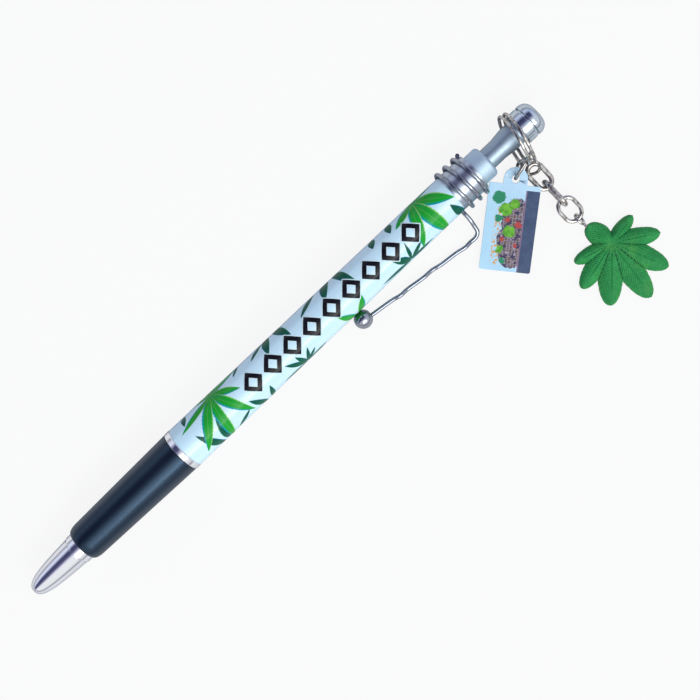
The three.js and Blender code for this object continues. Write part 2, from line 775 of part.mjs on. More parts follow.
// The tag lies with its hole at its own origin and its ear along +X
function tagPlate() {
  const outline = new THREE.Shape();
  const top = -TAG_EAR_RISE;
  const bottom = top - TAG_LENGTH;
  const side = TAG_WIDTH / 2;
  outline.moveTo(bottom + TAG_CORNER, -side);
  outline.lineTo(top, -side);
  outline.lineTo(top, -TAG_EAR_RADIUS);
  outline.lineTo(0, -TAG_EAR_RADIUS);
  outline.absarc(0, 0, TAG_EAR_RADIUS, -Math.PI / 2, Math.PI / 2, false);
  outline.lineTo(top, TAG_EAR_RADIUS);
  outline.lineTo(top, side);
  outline.lineTo(bottom + TAG_CORNER, side);
  outline.absarc(bottom + TAG_CORNER, side - TAG_CORNER, TAG_CORNER, Math.PI / 2, Math.PI, false);
  outline.absarc(bottom + TAG_CORNER, -side + TAG_CORNER, TAG_CORNER, Math.PI, Math.PI * 1.5, false);
  const hole = new THREE.Path();
  hole.absarc(0, 0, TAG_HOLE_RADIUS, 0, 2 * Math.PI, true);
  outline.holes.push(hole);
  const options = { depth: TAG_THICKNESS, bevelEnabled: false, curveSegments: 10 };
  const plate = new THREE.ExtrudeGeometry(outline, options);
  plate.translate(0, 0, -TAG_THICKNESS / 2);
  return closed(plate);
}

// One lobe of the leaf: flat below, domed above, widest past its middle and pointed at its end
function leafLobe({ angle, reach, swell: breadth }) {
  const length = LEAF_REACH * reach;
  const halfWidth = LEAF_LOBE_HALF_WIDTH * breadth;
  const stations = 9;
  const across = 7;
  const positions = [];
  const index = [];
  const rows = [];
  for (let i = 0; i <= stations; i += 1) {
    const share = i / stations;
    const swell = Math.sin(Math.PI * Math.min(1, 0.16 + 0.84 * share ** 1.25)) ** 0.75;
    const width = halfWidth * Math.max(swell, 0.04);
    const crown = LEAF_EDGE + (LEAF_THICKNESS - LEAF_EDGE) * (1 - 0.45 * share ** 2);
    const row = [];
    for (let k = 0; k < across; k += 1) {
      const aside = (2 * k) / (across - 1) - 1;
      const height = LEAF_EDGE + (crown - LEAF_EDGE) * (1 - aside ** 2);
      row.push(positions.length / 3);
      positions.push(share * length, aside * width, height);
    }
    for (const aside of [1, -1]) {
      row.push(positions.length / 3);
      positions.push(share * length, aside * width, 0);
    }
    rows.push(row);
  }
  const ring = across + 2;
  for (let i = 0; i < stations; i += 1) {
    for (let k = 0; k < ring; k += 1) {
      const a = rows[i][k];
      const b = rows[i][(k + 1) % ring];
      const c = rows[i + 1][(k + 1) % ring];
      const d = rows[i + 1][k];
      index.push(a, b, c, a, c, d);
    }
  }
  for (const end of [rows[0], rows[stations]]) {
    for (let k = 1; k < ring - 1; k += 1) {
      if (end === rows[0]) {
        index.push(end[0], end[k + 1], end[k]);
      } else {
        index.push(end[0], end[k], end[k + 1]);
      }
    }
  }
  const geometry = new THREE.BufferGeometry();
  geometry.setAttribute('position', new THREE.Float32BufferAttribute(positions, 3));
  geometry.setIndex(index);
  geometry.rotateZ(angle * degrees);
  geometry.translate(LEAF_CENTRE[0], LEAF_CENTRE[1], tableHeight);
  return toManifold(geometry);
}

function leafCharm() {
  let leaf = LEAF_LOBES.map(leafLobe).reduce((sum, lobe) => sum.add(lobe));
  const boss = new THREE.CylinderGeometry(LEAF_BOSS_RADIUS, LEAF_BOSS_FOOT_RADIUS, LEAF_THICKNESS, 20);
  boss.rotateX(Math.PI / 2);
  boss.translate(LEAF_CENTRE[0], LEAF_CENTRE[1], tableHeight + LEAF_THICKNESS / 2);
  leaf = leaf.add(toManifold(boss));
  const { centre, radius, wire: diameter } = LEAF_EYE;
  const boreRadius = diameter / 2 + LEAF_EYE_GAP;
  const bore = new THREE.CylinderGeometry(boreRadius, boreRadius, LEAF_EYE_SHANK + 2 * LEAF_EYE_GAP, 12);
  bore.translate(centre[0], centre[1] - radius - LEAF_EYE_SHANK / 2, centre[2]);
  return fromManifold(leaf.subtract(toManifold(bore)));
}

// The eye screwed into the leaf's stalk: a ring with a straight shank
function leafEye() {
  const { radius, wire: diameter, centre, turn } = LEAF_EYE;
  const ring = new THREE.TorusGeometry(radius, diameter / 2, 8, 20);
  const shank = new THREE.CylinderGeometry(diameter / 2, diameter / 2, LEAF_EYE_SHANK, 8);
  shank.translate(0, -radius - LEAF_EYE_SHANK / 2, 0);
  const eye = fromManifold(toManifold(ring).add(toManifold(shank)));
  eye.rotateY(turn * degrees);
  eye.translate(...centre);
  return eye;
}

function addLink(name, link, centre) {
  const mesh = add(name, linkGeometry(link), nickel);
  place(mesh, centre, [link.lean * degrees, link.face * degrees, 0]);
}

add('nose_cone', noseCone(), chrome);
add('rubber_grip', rubberGrip(), blackRubber);
add('grip_tube', gripTube(), innerPlastic);
add('grip_ring', gripRing(), chrome);
add('barrel', barrel(), whiteGloss);
add('coil_sleeve', coilSleeve(), chrome);
add('cam_housing', camHousing(), satinSilver);
add('thrust_crown', thrustCrown(), blackPlastic);
add('cam_rotor', camRotor(), blackPlastic);
add('plunger', plunger(), satinSilver);
add('button_cap', buttonCap(), satinSilver);
add('refill_point', refillPoint(), brass);
add('writing_ball', writingBall(), springSteel);
add('refill_tube', refillTube(), innerPlastic);
add('return_spring', returnSpring(), springSteel);
add('clip_coil', clipCoil(), chrome);
add('clip_arm', clipArm(), chrome);
add('clip_ball', clipBall(), chrome);

place(add('split_ring', splitRing(), nickel), SPLIT_CENTRE, [0, 0, -SPLIT_TURN * degrees]);

const tagGroup = new THREE.Group();
tagGroup.position.set(...TAG_HOLE);
tagGroup.rotation.set(0, -TAG_SLOPE * degrees, TAG_DIRECTION * degrees, 'ZYX');
pen.add(tagGroup);
add('tag', tagPlate(), printedTag, tagGroup);

const tagRing = closed(new THREE.TorusGeometry(TAG_RING_RADIUS, TAG_RING_WIRE / 2, 6, 24));
tagRing.rotateX(Math.PI / 2);
place(add('tag_ring', tagRing, nickel), TAG_RING_CENTRE, [0, 0, TAG_RING_DIRECTION * degrees]);

const chainRing = closed(new THREE.TorusGeometry(CHAIN_RING_RADIUS, CHAIN_RING_WIRE / 2, 6, 24));
const chainTurns = CHAIN_RING_TURNS.map((turn) => turn * degrees);
place(add('chain_ring', chainRing, nickel), CHAIN_RING_CENTRE, [...chainTurns, 'ZYX']);

addLink('chain_link_1', LINK_1, LINK_1_CENTRE);
addLink('chain_link_2', LINK_2, LINK_2_CENTRE);
addLink('chain_link_3', LINK_3, LINK_3_CENTRE);
add('leaf_eye', leafEye(), nickel);
add('leaf_charm', leafCharm(), greenResin);

export default pen;
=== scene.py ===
# %% [markdown]
# # A click ball pen with a wire clip and charms
#
# The pen lies on a white table: a chrome nose, a black rubber grip, a printed barrel, a wire clip wound
# round its end, and a button with a split ring that carries a printed tag and a moulded leaf. Its solids
# are loaded as a frame. Each visible piece gets a finer surface, and the pieces inside keep their solids.

# %% The frame that everything is fitted to
import math
from functools import partialmethod
import bpy
import numpy as np
from mathutils import Matrix, Vector
from mathutils.geometry import delaunay_2d_cdt


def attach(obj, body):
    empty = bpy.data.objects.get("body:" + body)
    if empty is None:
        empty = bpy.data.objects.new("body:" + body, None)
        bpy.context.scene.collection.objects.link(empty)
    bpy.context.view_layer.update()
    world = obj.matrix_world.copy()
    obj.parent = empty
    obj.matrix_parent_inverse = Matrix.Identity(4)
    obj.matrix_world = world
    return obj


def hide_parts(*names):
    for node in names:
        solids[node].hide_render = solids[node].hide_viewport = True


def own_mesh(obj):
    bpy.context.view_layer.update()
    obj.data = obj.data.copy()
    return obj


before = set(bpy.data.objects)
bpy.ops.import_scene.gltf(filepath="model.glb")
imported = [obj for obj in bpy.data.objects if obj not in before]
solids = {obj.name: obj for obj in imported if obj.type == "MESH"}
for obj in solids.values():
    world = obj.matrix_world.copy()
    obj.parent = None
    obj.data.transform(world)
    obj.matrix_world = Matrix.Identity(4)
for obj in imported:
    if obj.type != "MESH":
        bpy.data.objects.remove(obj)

scene = bpy.context.scene
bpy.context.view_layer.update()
MM = 0.001
PEN_LENGTH = 145
TABLE_HEIGHT = -5.3

# %% [markdown]
# ## Camera
#
# The camera looks almost straight down from about a quarter of a metre. The pen runs from the lower left
# to the upper right of the picture, so the camera is rolled. Its directions are written out as vectors.

# %% Camera
CAMERA_LEAN, CAMERA_PLACE = math.radians(3.244), (-47.3, -9.0, 247.85)
ROLL_COSINE, ROLL_SINE = 0.72551, 0.68821
SENSOR_WIDTH, FOCAL_PIXELS, PICTURE_PIXELS = 36, 1192, 700
pen_way = Vector((math.cos(CAMERA_LEAN), 0, -math.sin(CAMERA_LEAN)))
side_way = Vector((0, 1, 0))
view_right = ROLL_COSINE * pen_way - ROLL_SINE * side_way
view_up = ROLL_SINE * pen_way + ROLL_COSINE * side_way
view_axes = Matrix((view_right, view_up, view_right.cross(view_up))).transposed().to_4x4()
camera = bpy.data.objects.new("camera", bpy.data.cameras.new("camera"))
scene.collection.objects.link(camera)
camera.data.sensor_width = SENSOR_WIDTH
camera.data.lens = SENSOR_WIDTH * FOCAL_PIXELS / PICTURE_PIXELS
camera.data.clip_start = 0.01
camera.matrix_world = Matrix.Translation(Vector(CAMERA_PLACE) * MM) @ view_axes
scene.camera = camera
print("camera", [round(v, 3) for v in camera.location], "lens", round(camera.data.lens, 1), "mm")

# %% [markdown]
# ## Arithmetic with nodes
#
# A material is a network of small nodes, and most of them only add or multiply. The class below wraps one
# output of a node, so that Python's own + and * add the node for us. One method makes every other node.

# %% Numbers that build nodes
class Amount:
    """One output of a node, ready for arithmetic."""

    def __init__(self, graph, socket):
        self.graph, self.socket = graph, socket

    def math(self, operation, *others):
        return self.graph.amount("ShaderNodeMath", dict(enumerate((self, *others))), operation=operation)

    __add__ = partialmethod(math, "ADD")
    __sub__ = partialmethod(math, "SUBTRACT")
    __mul__ = partialmethod(math, "MULTIPLY")
    __truediv__ = partialmethod(math, "DIVIDE")
    __pow__ = partialmethod(math, "POWER")

    def step(self, low, high):
        """0 below low, 1 above high, and smooth between them. With low above high it falls instead."""
        limits = {"Value": self, "From Min": low, "From Max": high}
        return self.graph.amount("ShaderNodeMapRange", limits, interpolation_type="SMOOTHSTEP")


class Graph:
    """Adds nodes to a material's tree or to a Geometry Nodes tree."""

    def __init__(self, tree):
        self.tree = tree

    def node(self, kind, inputs=None, **settings):
        made = self.tree.nodes.new(kind)
        for key, item in settings.items():
            setattr(made, key, item)
        for key, item in (inputs or {}).items():
            if isinstance(item, Amount):
                item = item.socket
            if isinstance(item, bpy.types.NodeSocket):
                self.tree.links.new(item, made.inputs[key])
            else:
                made.inputs[key].default_value = item
        return made

    def amount(self, kind, inputs=None, output=0, **settings):
        return Amount(self, self.node(kind, inputs, **settings).outputs[output])

    def blend(self, share, first, second):
        """A colour between two colours. Colours go through Mix, because a Math node would turn them grey."""
        colours = [item if isinstance(item, Amount) else (*item, 1) for item in (first, second)]
        return self.amount("ShaderNodeMix", {0: share, 6: colours[0], 7: colours[1]}, 2, data_type="RGBA")

    def split(self, vector):
        """The three parts of a vector."""
        parts = self.node("ShaderNodeSeparateXYZ", {"Vector": vector}).outputs
        return [Amount(self, part) for part in parts]

    def chain(self, geometry, *steps):
        """Sends a geometry through one node after another, and out of the tree."""
        for kind, entry, inputs in steps:
            geometry = self.node("GeometryNode" + kind, {entry: geometry, **inputs}).outputs[0]
        self.node("NodeGroupOutput", {"Geometry": geometry})


# %% [markdown]
# ## How a finish starts
#
# Each finish is one Principled shader. What is the same all over the surface, such as the coat's
# thickness, is set on the shader itself. What changes from place to place is linked in: a little noise
# in the roughness and a fine bump are what keep a surface from looking like a computer's.

# %% Starting a finish
class Finish(Graph):
    """A material with one Principled shader, and places measured in the object's own millimetres."""

    def __init__(self, name, colour, roughness, **constants):
        self.material = bpy.data.materials.new(name)
        self.material.use_nodes = True
        self.material.diffuse_color = (*colour, 1)
        super().__init__(self.material.node_tree)
        self.shader = self.tree.nodes["Principled BSDF"]
        constants |= {"Base_Color": (*colour, 1), "Roughness": roughness}
        for key, item in constants.items():
            self.shader.inputs[key.replace("_", " ")].default_value = item

    def place(self, stretch=(1, 1, 1)):
        """Object coordinates in millimetres, stretched along the axes."""
        where = self.node("ShaderNodeTexCoord").outputs["Object"]
        return self.amount("ShaderNodeMapping", {"Vector": where, "Scale": [s / MM for s in stretch]})

    def noise(self, size, detail=3, stretch=(1, 1, 1)):
        """Noise from 0 to 1 whose blotches are about size millimetres across."""
        inputs = {"Vector": self.place(stretch), "Scale": 1 / size, "Detail": detail}
        return self.amount("ShaderNodeTexNoise", inputs)

    def uv_map(self):
        return self.node("ShaderNodeUVMap", uv_map="print").outputs[0]

    def finished(self, colour, roughness, height=None, depth=0.0):
        """Links what varies. A height of 0 to 1 is a bump of depth millimetres."""
        bump = {"Height": height, "Distance": depth * MM, "Strength": 1.0}
        normal = self.amount("ShaderNodeBump", bump) if height else None
        for key, item in (("Base Color", colour), ("Roughness", roughness), ("Normal", normal)):
            if item:
                self.tree.links.new(item.socket, self.shader.inputs[key])
        return self.material


def mottled(name, colour, roughness, tones, swing, depth, pattern, grain=None, **constants):
    """One noise moves the colour between two tones and the roughness by a swing from its lowest value.
    It is the bump too, unless that has a grain of its own."""
    made = Finish(name, colour, roughness, **constants)
    cloud = made.noise(**pattern)
    height = made.noise(**grain) if grain else cloud
    shade = made.blend(cloud, *tones) if tones else None
    return made.finished(shade, cloud * swing[1] + swing[0], height if depth else None, depth)


# %% [markdown]
# ## Metals
#
# The metals are told apart by how sharply they reflect. The nose and the ring behind the grip are polished
# chrome, and the clip is a darker steel. The sleeve, the collar and the button's shaft are satin. The small
# rings are dull nickel, a little yellow, with darker blotches where fingers have been.

# %% Metals
BRUSHED = (1, 0.1, 0.1)
HEAD_EDGE, COLLAR_EDGE = (-5.5, -5.2), (-13.7, -13.9)


def polished_chrome(name, ripple):
    """Chrome whose surface swings by ripple millimetres."""
    smear, dents = {"size": 2.5, "stretch": (0.4, 1, 1)}, {"size": 1.2, "detail": 2}
    return mottled(name, (0.80, 0.81, 0.86), 0.06, None, (0.03, 0.06), ripple, smear, dents, Metallic=1.0)


def drawn_metal(name, colour, roughness):
    streaks = {"size": 0.15, "stretch": BRUSHED}
    return mottled(name, colour, roughness, None, (roughness, 0.15), 0.003, streaks, Metallic=1.0)


def satin_plating():
    """Matt on the collar, satin on the shaft, and polished on the button's head."""
    made = Finish("satin_plating", (0.52, 0.65, 0.84), 0.4, Metallic=1.0)
    along = made.split(made.place())[0]
    head, collar = along.step(*HEAD_EDGE), along.step(*COLLAR_EDGE)
    rings, cloud = made.noise(0.3, stretch=BRUSHED), made.noise(1.5)
    satin = made.blend(cloud, (0.47, 0.60, 0.72), (0.56, 0.69, 0.80))
    # The shaft's plating is darker than the collar's: painted shade for the dark ring that it reflects.
    shaft = made.blend(cloud, (0.33, 0.42, 0.51), (0.40, 0.49, 0.58))
    colour = made.blend(head, made.blend(collar, shaft, satin), (0.52, 0.59, 0.67))
    roughness = rings * 0.05 + cloud * 0.05 + 0.42 + collar * 0.14 - head * 0.34
    return made.finished(colour, roughness, rings, 0.001)


def dull_nickel():
    made = Finish("dull_nickel", (0.60, 0.57, 0.54), 0.16, Metallic=1.0)
    blotch = made.noise(0.9, detail=5)
    colour = made.blend(blotch.step(0.35, 0.7), (0.64, 0.62, 0.60), (0.19, 0.17, 0.16))
    return made.finished(colour, blotch * 0.2 + 0.06, made.noise(0.35), 0.008)


chrome = polished_chrome("polished_chrome", 0.008)
pressed_chrome = polished_chrome("pressed_chrome", 0.04)
plating = satin_plating()
sleeve = mottled(
    "sleeve_metal", (0.50, 0.56, 0.66), 0.22, ((0.36, 0.41, 0.50), (0.54, 0.60, 0.70)), (0.28, 0.1), 0.001,
    {"size": 0.4, "stretch": BRUSHED}, Metallic=1.0,
)
steel = mottled(
    "clip_steel", (0.32, 0.35, 0.41), 0.12, ((0.20, 0.22, 0.27), (0.44, 0.47, 0.54)), (0.08, 0.1), 0.004,
    {"size": 1.5}, Metallic=1.0,
)
nickel = dull_nickel()
turned_brass = drawn_metal("turned_brass", (0.79, 0.62, 0.32), 0.2)
spring_wire = drawn_metal("spring_wire", (0.56, 0.57, 0.60), 0.22)
print("metals:", chrome.name, steel.name, plating.name, sleeve.name, nickel.name)

# %% [markdown]
# ## Rubber and plastics
#
# The grip is soft black rubber with a faint grain. It is never quite black: the light spreads over it in
# one broad bluish band. The barrel is a white plastic tube under clear lacquer, so it has a coat. The
# moulded pieces inside are plain plastic.

# %% Rubber and plastics
def grip_rubber():
    tint = (0.38, 0.64, 1.0, 1.0)
    made = Finish("grip_rubber", (0.004, 0.006, 0.012), 0.4, Specular_IOR_Level=0.85, Specular_Tint=tint)
    grain, wear = made.noise(0.22, detail=4), made.noise(6, detail=2)
    colour = made.blend(wear, (0.002, 0.004, 0.008), (0.005, 0.008, 0.016))
    return made.finished(colour, wear * 0.06 + grain * 0.06 + 0.24, grain, 0.01)


def moulded(name, dark, light, roughness):
    grain = {"size": 0.15, "detail": 2}
    return mottled(name, light, roughness, (dark, light), (roughness, 0.12), 0.006, {"size": 3}, grain)


rubber = grip_rubber()
white_lacquer = mottled(
    "lacquered_white", (0.60, 0.82, 0.93), 0.25, ((0.55, 0.79, 0.92), (0.61, 0.84, 0.96)), (0.2, 0.08),
    0.006, {"size": 5, "detail": 2, "stretch": (0.5, 1, 1)}, Coat_Weight=0.4, Coat_Roughness=0.06,
)
clear_plastic = moulded("inner_plastic", (0.70, 0.70, 0.68), (0.82, 0.82, 0.80), 0.42)
cam_plastic = moulded("cam_plastic", (0.030, 0.031, 0.034), (0.055, 0.056, 0.060), 0.4)
inside = {
    "grip_tube": clear_plastic,
    "refill_tube": clear_plastic,
    "thrust_crown": cam_plastic,
    "cam_rotor": cam_plastic,
    "refill_point": turned_brass,
    "writing_ball": spring_wire,
}
for name, material in inside.items():
    solids[name].data.materials.clear()
    solids[name].data.materials.append(material)
print("these inner pieces keep their solids:", ", ".join(inside))

# %% [markdown]
# ## Turned pieces
#
# Most of the pen is turned: an outline spun about the axis. The solids do that with few sides, which
# shows as flats in chrome. Here the same outlines are spun finely, and each sharp corner is softened
# first. A point close on either side of every corner keeps the shading of the long faces clean.

# %% Spinning an outline about the pen's axis
ON_AXIS = 1e-6
ALMOST_STRAIGHT = math.cos(math.radians(25))
LARGEST_CUT, GUARD = 0.3, 0.4  # a share of the shorter face, and a share of the cut


def around(station, radius, angle):
    """A point. The station counts from the nose, and the angle from +Y towards +Z."""
    turn = math.radians(angle)
    return np.array((station - PEN_LENGTH, radius * math.cos(turn), radius * math.sin(turn)))


def on_circle(radius, angles):
    return [(radius * math.cos(a), radius * math.sin(a)) for a in angles]


def softened(outline, size=0.06, steps=3):
    """The closed outline with small round corners. Points on the axis stay as they are."""
    points = [np.array(p, float) for p in outline]
    result = []
    for before, here, after in zip([points[-1], *points], points, [*points[1:], points[0]]):
        lengths = np.linalg.norm(before - here), np.linalg.norm(after - here)
        back, on = (before - here) / lengths[0], (after - here) / lengths[1]
        if -np.dot(back, on) > ALMOST_STRAIGHT or here[1] < ON_AXIS:
            result.append(here)
            continue
        cut = min(size, lengths[0] * LARGEST_CUT, lengths[1] * LARGEST_CUT)
        start, end = here + back * cut, here + on * cut
        result.append(start + back * cut * GUARD)
        for t in np.linspace(0, 1, steps + 1):
            result.append((1 - t) ** 2 * start + 2 * t * (1 - t) * here + t**2 * end)
        result.append(end + on * cut * GUARD)
    return result


def spun(outline, sides=128):
    """Points and faces of an outline of (station, radius), spun about X."""
    points, faces, rings = [], [], []
    for station, radius in outline:
        count = sides if radius > ON_AXIS else 1
        rings.append([len(points) + k for k in range(count)])
        points += [around(station, radius, 360 * k / sides) for k in range(count)]
    if min(len(ring) for ring in rings) > 1:
        rings.append(rings[0])
    for first, second in zip(rings, rings[1:]):
        for k in range(sides):
            steps = (first, k), (first, k + 1), (second, k + 1), (second, k)
            corners = list(dict.fromkeys(ring[i % len(ring)] for ring, i in steps))
            if len(corners) > 2:
                faces.append(corners)
    return points, faces


def outward(points, faces):
    """Turns all faces round if they enclose a negative volume."""
    volume = 0.0
    for face in faces:
        a = points[face[0]]
        for b, c in zip(face[1:], face[2:]):
            volume += np.dot(a, np.cross(points[b], points[c]))
    return faces if volume > 0 else [face[::-1] for face in faces]


def make_mesh(name, points, faces, material, smooth=True):
    """An object at the origin from points in millimetres."""
    mesh = bpy.data.meshes.new(name)
    mesh.from_pydata([[v * MM for v in p] for p in points], [], faces)
    mesh.materials.append(material)
    mesh.polygons.foreach_set("use_smooth", [smooth] * len(mesh.polygons))
    made = bpy.data.objects.new(name, mesh)
    scene.collection.objects.link(made)
    return made


def settle(piece, body, slot, *nodes):
    """The piece rides on its body and stands for the solids that it replaces. The slot is not used."""
    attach(piece, body)
    if nodes:
        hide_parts(*nodes)
    print(piece.name, len(piece.data.polygons), "faces")
    return piece


def turned(name, outline, material, body, slot, node, size=0.06):
    points, faces = spun(softened(outline, size))
    return settle(make_mesh(name, points, outward(points, faces), material), body, slot, node)


def arc(start, end, steep_first, steps=10):
    """A quarter of an ellipse between two outline points. Steep first, it leaves square to the axis."""
    turns = np.linspace(0, math.pi / 2, steps + 1)
    shares = (1 - np.cos(turns), np.sin(turns)) if steep_first else (np.sin(turns), 1 - np.cos(turns))
    return list(zip(*(a + (b - a) * share for a, b, share in zip(start, end, shares))))


# %% [markdown]
# ## Nose cone
#
# The nose is one piece of chromed brass: a bullet shape, a fine groove, a short collar, and a spigot that
# screws into the grip. The bullet is the same Bezier curve that the solid uses.

# %% Nose cone
GRIP_FRONT, GRIP_REAR, BARREL_FRONT, BARREL_REAR, SLEEVE_REAR = 14.3, 43.0, 44.5, 120.9, 127.6


def bezier(a, b, c, d, steps):
    t = np.linspace(0, 1, steps + 1)[:, None]
    a, b, c, d = (np.array(p, float) for p in (a, b, c, d))
    return (1 - t) ** 3 * a + 3 * t * (1 - t) ** 2 * b + 3 * t**2 * (1 - t) * c + t**3 * d


bullet = bezier((0.15, 1.25), (1.23, 2.805), (7.011, 2.97), (12.3, 3.3), 36)
turned(
    "nose_shell",
    [(0, 0.95), (0, 1.1), *bullet, (12.35, 3.15), (12.65, 3.15), (12.7, 3.45), (GRIP_FRONT, 3.45),
     (GRIP_FRONT, 2.95), (21.3, 2.95), (21.3, 2.4), (7, 2.4), (7, 1.35), (3, 1.35), (3, 0.95)],
    chrome, "barrel", "bright_metal", "nose_cone",
)

# %% [markdown]
# ## Grip and its ring
#
# The sleeve swells towards the barrel and rolls in at the front, where it meets the nose. Behind it sits a
# narrow chrome ring with chamfered edges.

# %% Grip and ring
turned(
    "grip_sleeve",
    [(GRIP_FRONT, 3.55), *arc((GRIP_FRONT, 3.65), (16.5, 4.3), True), (GRIP_REAR, 4.85), (GRIP_REAR, 3.55)],
    rubber, "barrel", "grip_rubber", "rubber_grip", size=0.12,
)
turned(
    "grip_band",
    [(GRIP_REAR, 3.55), (GRIP_REAR, 4.72), (43.2, 4.92), (44.3, 4.92), (BARREL_FRONT, 4.72),
     (BARREL_FRONT, 3.55)],
    pressed_chrome, "barrel", "bright_metal", "grip_ring", size=0.05,
)

# %% [markdown]
# ## Barrel, sleeve and collar
#
# The barrel is a plain tube with a slight taper. A satin sleeve under the wire and a brushed collar
# close its end. The collar is one piece with the tube inside the barrel, where four ribs guide the button.

# %% Barrel, sleeve and collar
BARREL_RADII, BARREL_BORE, SLEEVE_RADIUS = (4.85, 4.3), 3.55, 4.3
turned(
    "barrel_tube",
    [(BARREL_FRONT, BARREL_BORE), (BARREL_FRONT, BARREL_RADII[0]),
     (BARREL_REAR, BARREL_RADII[1]), (BARREL_REAR, BARREL_BORE)],
    white_lacquer, "barrel", "barrel_plastic", "barrel", size=0.08,
)
turned(
    "coil_seat",
    [(BARREL_REAR, 3.5), (BARREL_REAR, SLEEVE_RADIUS), (SLEEVE_REAR, SLEEVE_RADIUS), (SLEEVE_REAR, 3.5)],
    sleeve, "barrel", "bright_metal", "coil_sleeve",
)


def guide_rib(middle, width=46, slant=1.2, across=8):
    """One rib of the tube inside: a curved block whose front end is cut at a slant."""
    points, faces = [], [[3, 2, 1, 0]]
    for share in np.linspace(0, 1, across + 1):
        front = 107 + slant * share
        for station, radius in ((front, 2.45), (front, 3.1), (119, 3.1), (119, 2.45)):
            points.append(around(station, radius, middle + width * (share - 0.5)))
    for start in range(0, 4 * across, 4):
        for k, n in ((0, 1), (1, 2), (2, 3), (3, 0)):
            faces.append([start + k, start + n, start + 4 + n, start + 4 + k])
    faces.append([4 * across + k for k in range(4)])
    return points, outward(points, faces)


housing_outline = [
    (102.6, 3.0), (102.6, 3.45), (SLEEVE_REAR, 3.45), (SLEEVE_REAR, 3.6),
    *arc((130.35, 3.6), (131.1, 2.85), False), (131.1, 2.8), (SLEEVE_REAR, 2.8), (SLEEVE_REAR, 3.0),
]
points, faces = spun(softened(housing_outline, 0.05))
faces = outward(points, faces)
for middle in (45, 135, 225, 315):
    rib_points, rib_faces = guide_rib(middle)
    faces += [[i + len(points) for i in face] for face in rib_faces]
    points += rib_points
settle(make_mesh("collar_and_guide", points, faces, plating), "barrel", "satin_metal", "cam_housing")

# %% [markdown]
# ## Button
#
# The shaft widens a little before the head. The head is a flange, a dark groove, and a domed cap with a
# small flat end. All of it slides in the collar, so both pieces ride on the button's body.

# %% Button
SHAFT_FRONT, HEAD_FRONT, CAP_FRONT, SHAFT_RADIUS, HEAD_RADIUS = 118.6, 139.7, 142.45, 2.35, 3.65
turned(
    "button_shaft",
    [(SHAFT_FRONT, 0), (SHAFT_FRONT, SHAFT_RADIUS), (134.3, SHAFT_RADIUS), (136.9, 2.68), (HEAD_FRONT, 2.68),
     *arc((HEAD_FRONT, 3.15), (140.2, HEAD_RADIUS), True), (142.0, HEAD_RADIUS), (142.0, 3.2),
     (CAP_FRONT, 3.2), (CAP_FRONT, 0)],
    plating, "button", "satin_metal", "plunger",
)
turned(
    "button_dome",
    [(CAP_FRONT, 0), (CAP_FRONT, 3.55), (142.55, HEAD_RADIUS),
     *arc((142.95, HEAD_RADIUS), (PEN_LENGTH, 2.0), False, 16), (PEN_LENGTH, 0)],
    plating, "button", "satin_metal", "button_cap",
)

# %% [markdown]
# ## Wire, by Geometry Nodes
#
# The clip, the spring, the rings and the chain are all bent wire: a path and a thickness. One Geometry
# Nodes tree makes them all. It turns the path's edges into a curve, carries a circle along it, and closes
# the ends.

# %% A tree that carries a circle along a path
def new_tree(name, **inputs):
    tree = bpy.data.node_groups.new(name, "GeometryNodeTree")
    for label, kind in {"Geometry": "Geometry", **inputs}.items():
        tree.interface.new_socket(label, in_out="INPUT", socket_type="NodeSocket" + kind)
    tree.interface.new_socket("Geometry", in_out="OUTPUT", socket_type="NodeSocketGeometry")
    graph = Graph(tree)
    return tree, graph, graph.node("NodeGroupInput").outputs


def wire_tree():
    tree, graph, given = new_tree("bent_wire", Diameter="Float", Sides="Int", Material="Material")
    shape = {"Resolution": given["Sides"], "Radius": Amount(graph, given["Diameter"]) * 0.5}
    circle = graph.node("GeometryNodeCurvePrimitiveCircle", shape).outputs[0]
    graph.chain(
        given["Geometry"],
        ("MeshToCurve", "Mesh", {}),
        ("CurveToMesh", "Curve", {"Profile Curve": circle, "Fill Caps": True}),
        ("SetShadeSmooth", "Geometry", {}),
        ("RealizeInstances", "Geometry", {}),
        ("SetMaterial", "Geometry", {"Material": given["Material"]}),
    )
    return tree


def grown(name, seed, tree, settings):
    """Runs a tree on a seed mesh and keeps the result as a plain mesh."""
    holder = bpy.data.objects.new(name, seed)
    scene.collection.objects.link(holder)
    modifier = holder.modifiers.new("grow", "NODES")
    modifier.node_group = tree
    for item in tree.interface.items_tree:
        if item.in_out == "INPUT" and item.name in settings:
            modifier[item.identifier] = settings[item.name]
    bpy.context.view_layer.update()
    result = bpy.data.meshes.new_from_object(holder.evaluated_get(bpy.context.evaluated_depsgraph_get()))
    holder.modifiers.clear()
    holder.data = result
    result.name = name
    return holder


BENT_WIRE = wire_tree()


def bent_wire(name, path, diameter, material, body, slot, *nodes, closed=False, sides=24):
    """A wire along a path of points in millimetres, settled on its body."""
    count = len(path)
    edges = [(i, (i + 1) % count) for i in range(count if closed else count - 1)]
    seed = bpy.data.meshes.new("path")
    seed.from_pydata([[v * MM for v in p] for p in path], edges, [])
    settings = {"Diameter": diameter * MM, "Sides": sides, "Material": material}
    return settle(grown(name, seed, BENT_WIRE, settings), body, slot, *nodes)


# %% [markdown]
# ## Clip
#
# The clip is one spring wire. It makes three turns round the sleeve, steps away from the barrel, and runs
# back along it with small waves to a ball that rides on the barrel. The coil stays with the barrel and the
# arm flexes, so they are two pieces with a small gap between them.

# %% Coil
WIRE, SLEEVE_GAP, JOINT_GAP = 0.9, 0.1, 0.3
COIL_RADIUS = SLEEVE_RADIUS + SLEEVE_GAP + WIRE / 2
COIL_START, COIL_TOP, COIL_LAST, COIL_END = 225, 450, 450 + 720, 1440
COIL_TOP_STATION, COIL_PITCH, COIL_LAST_ADVANCE = 122.0, 2.25, 0.85


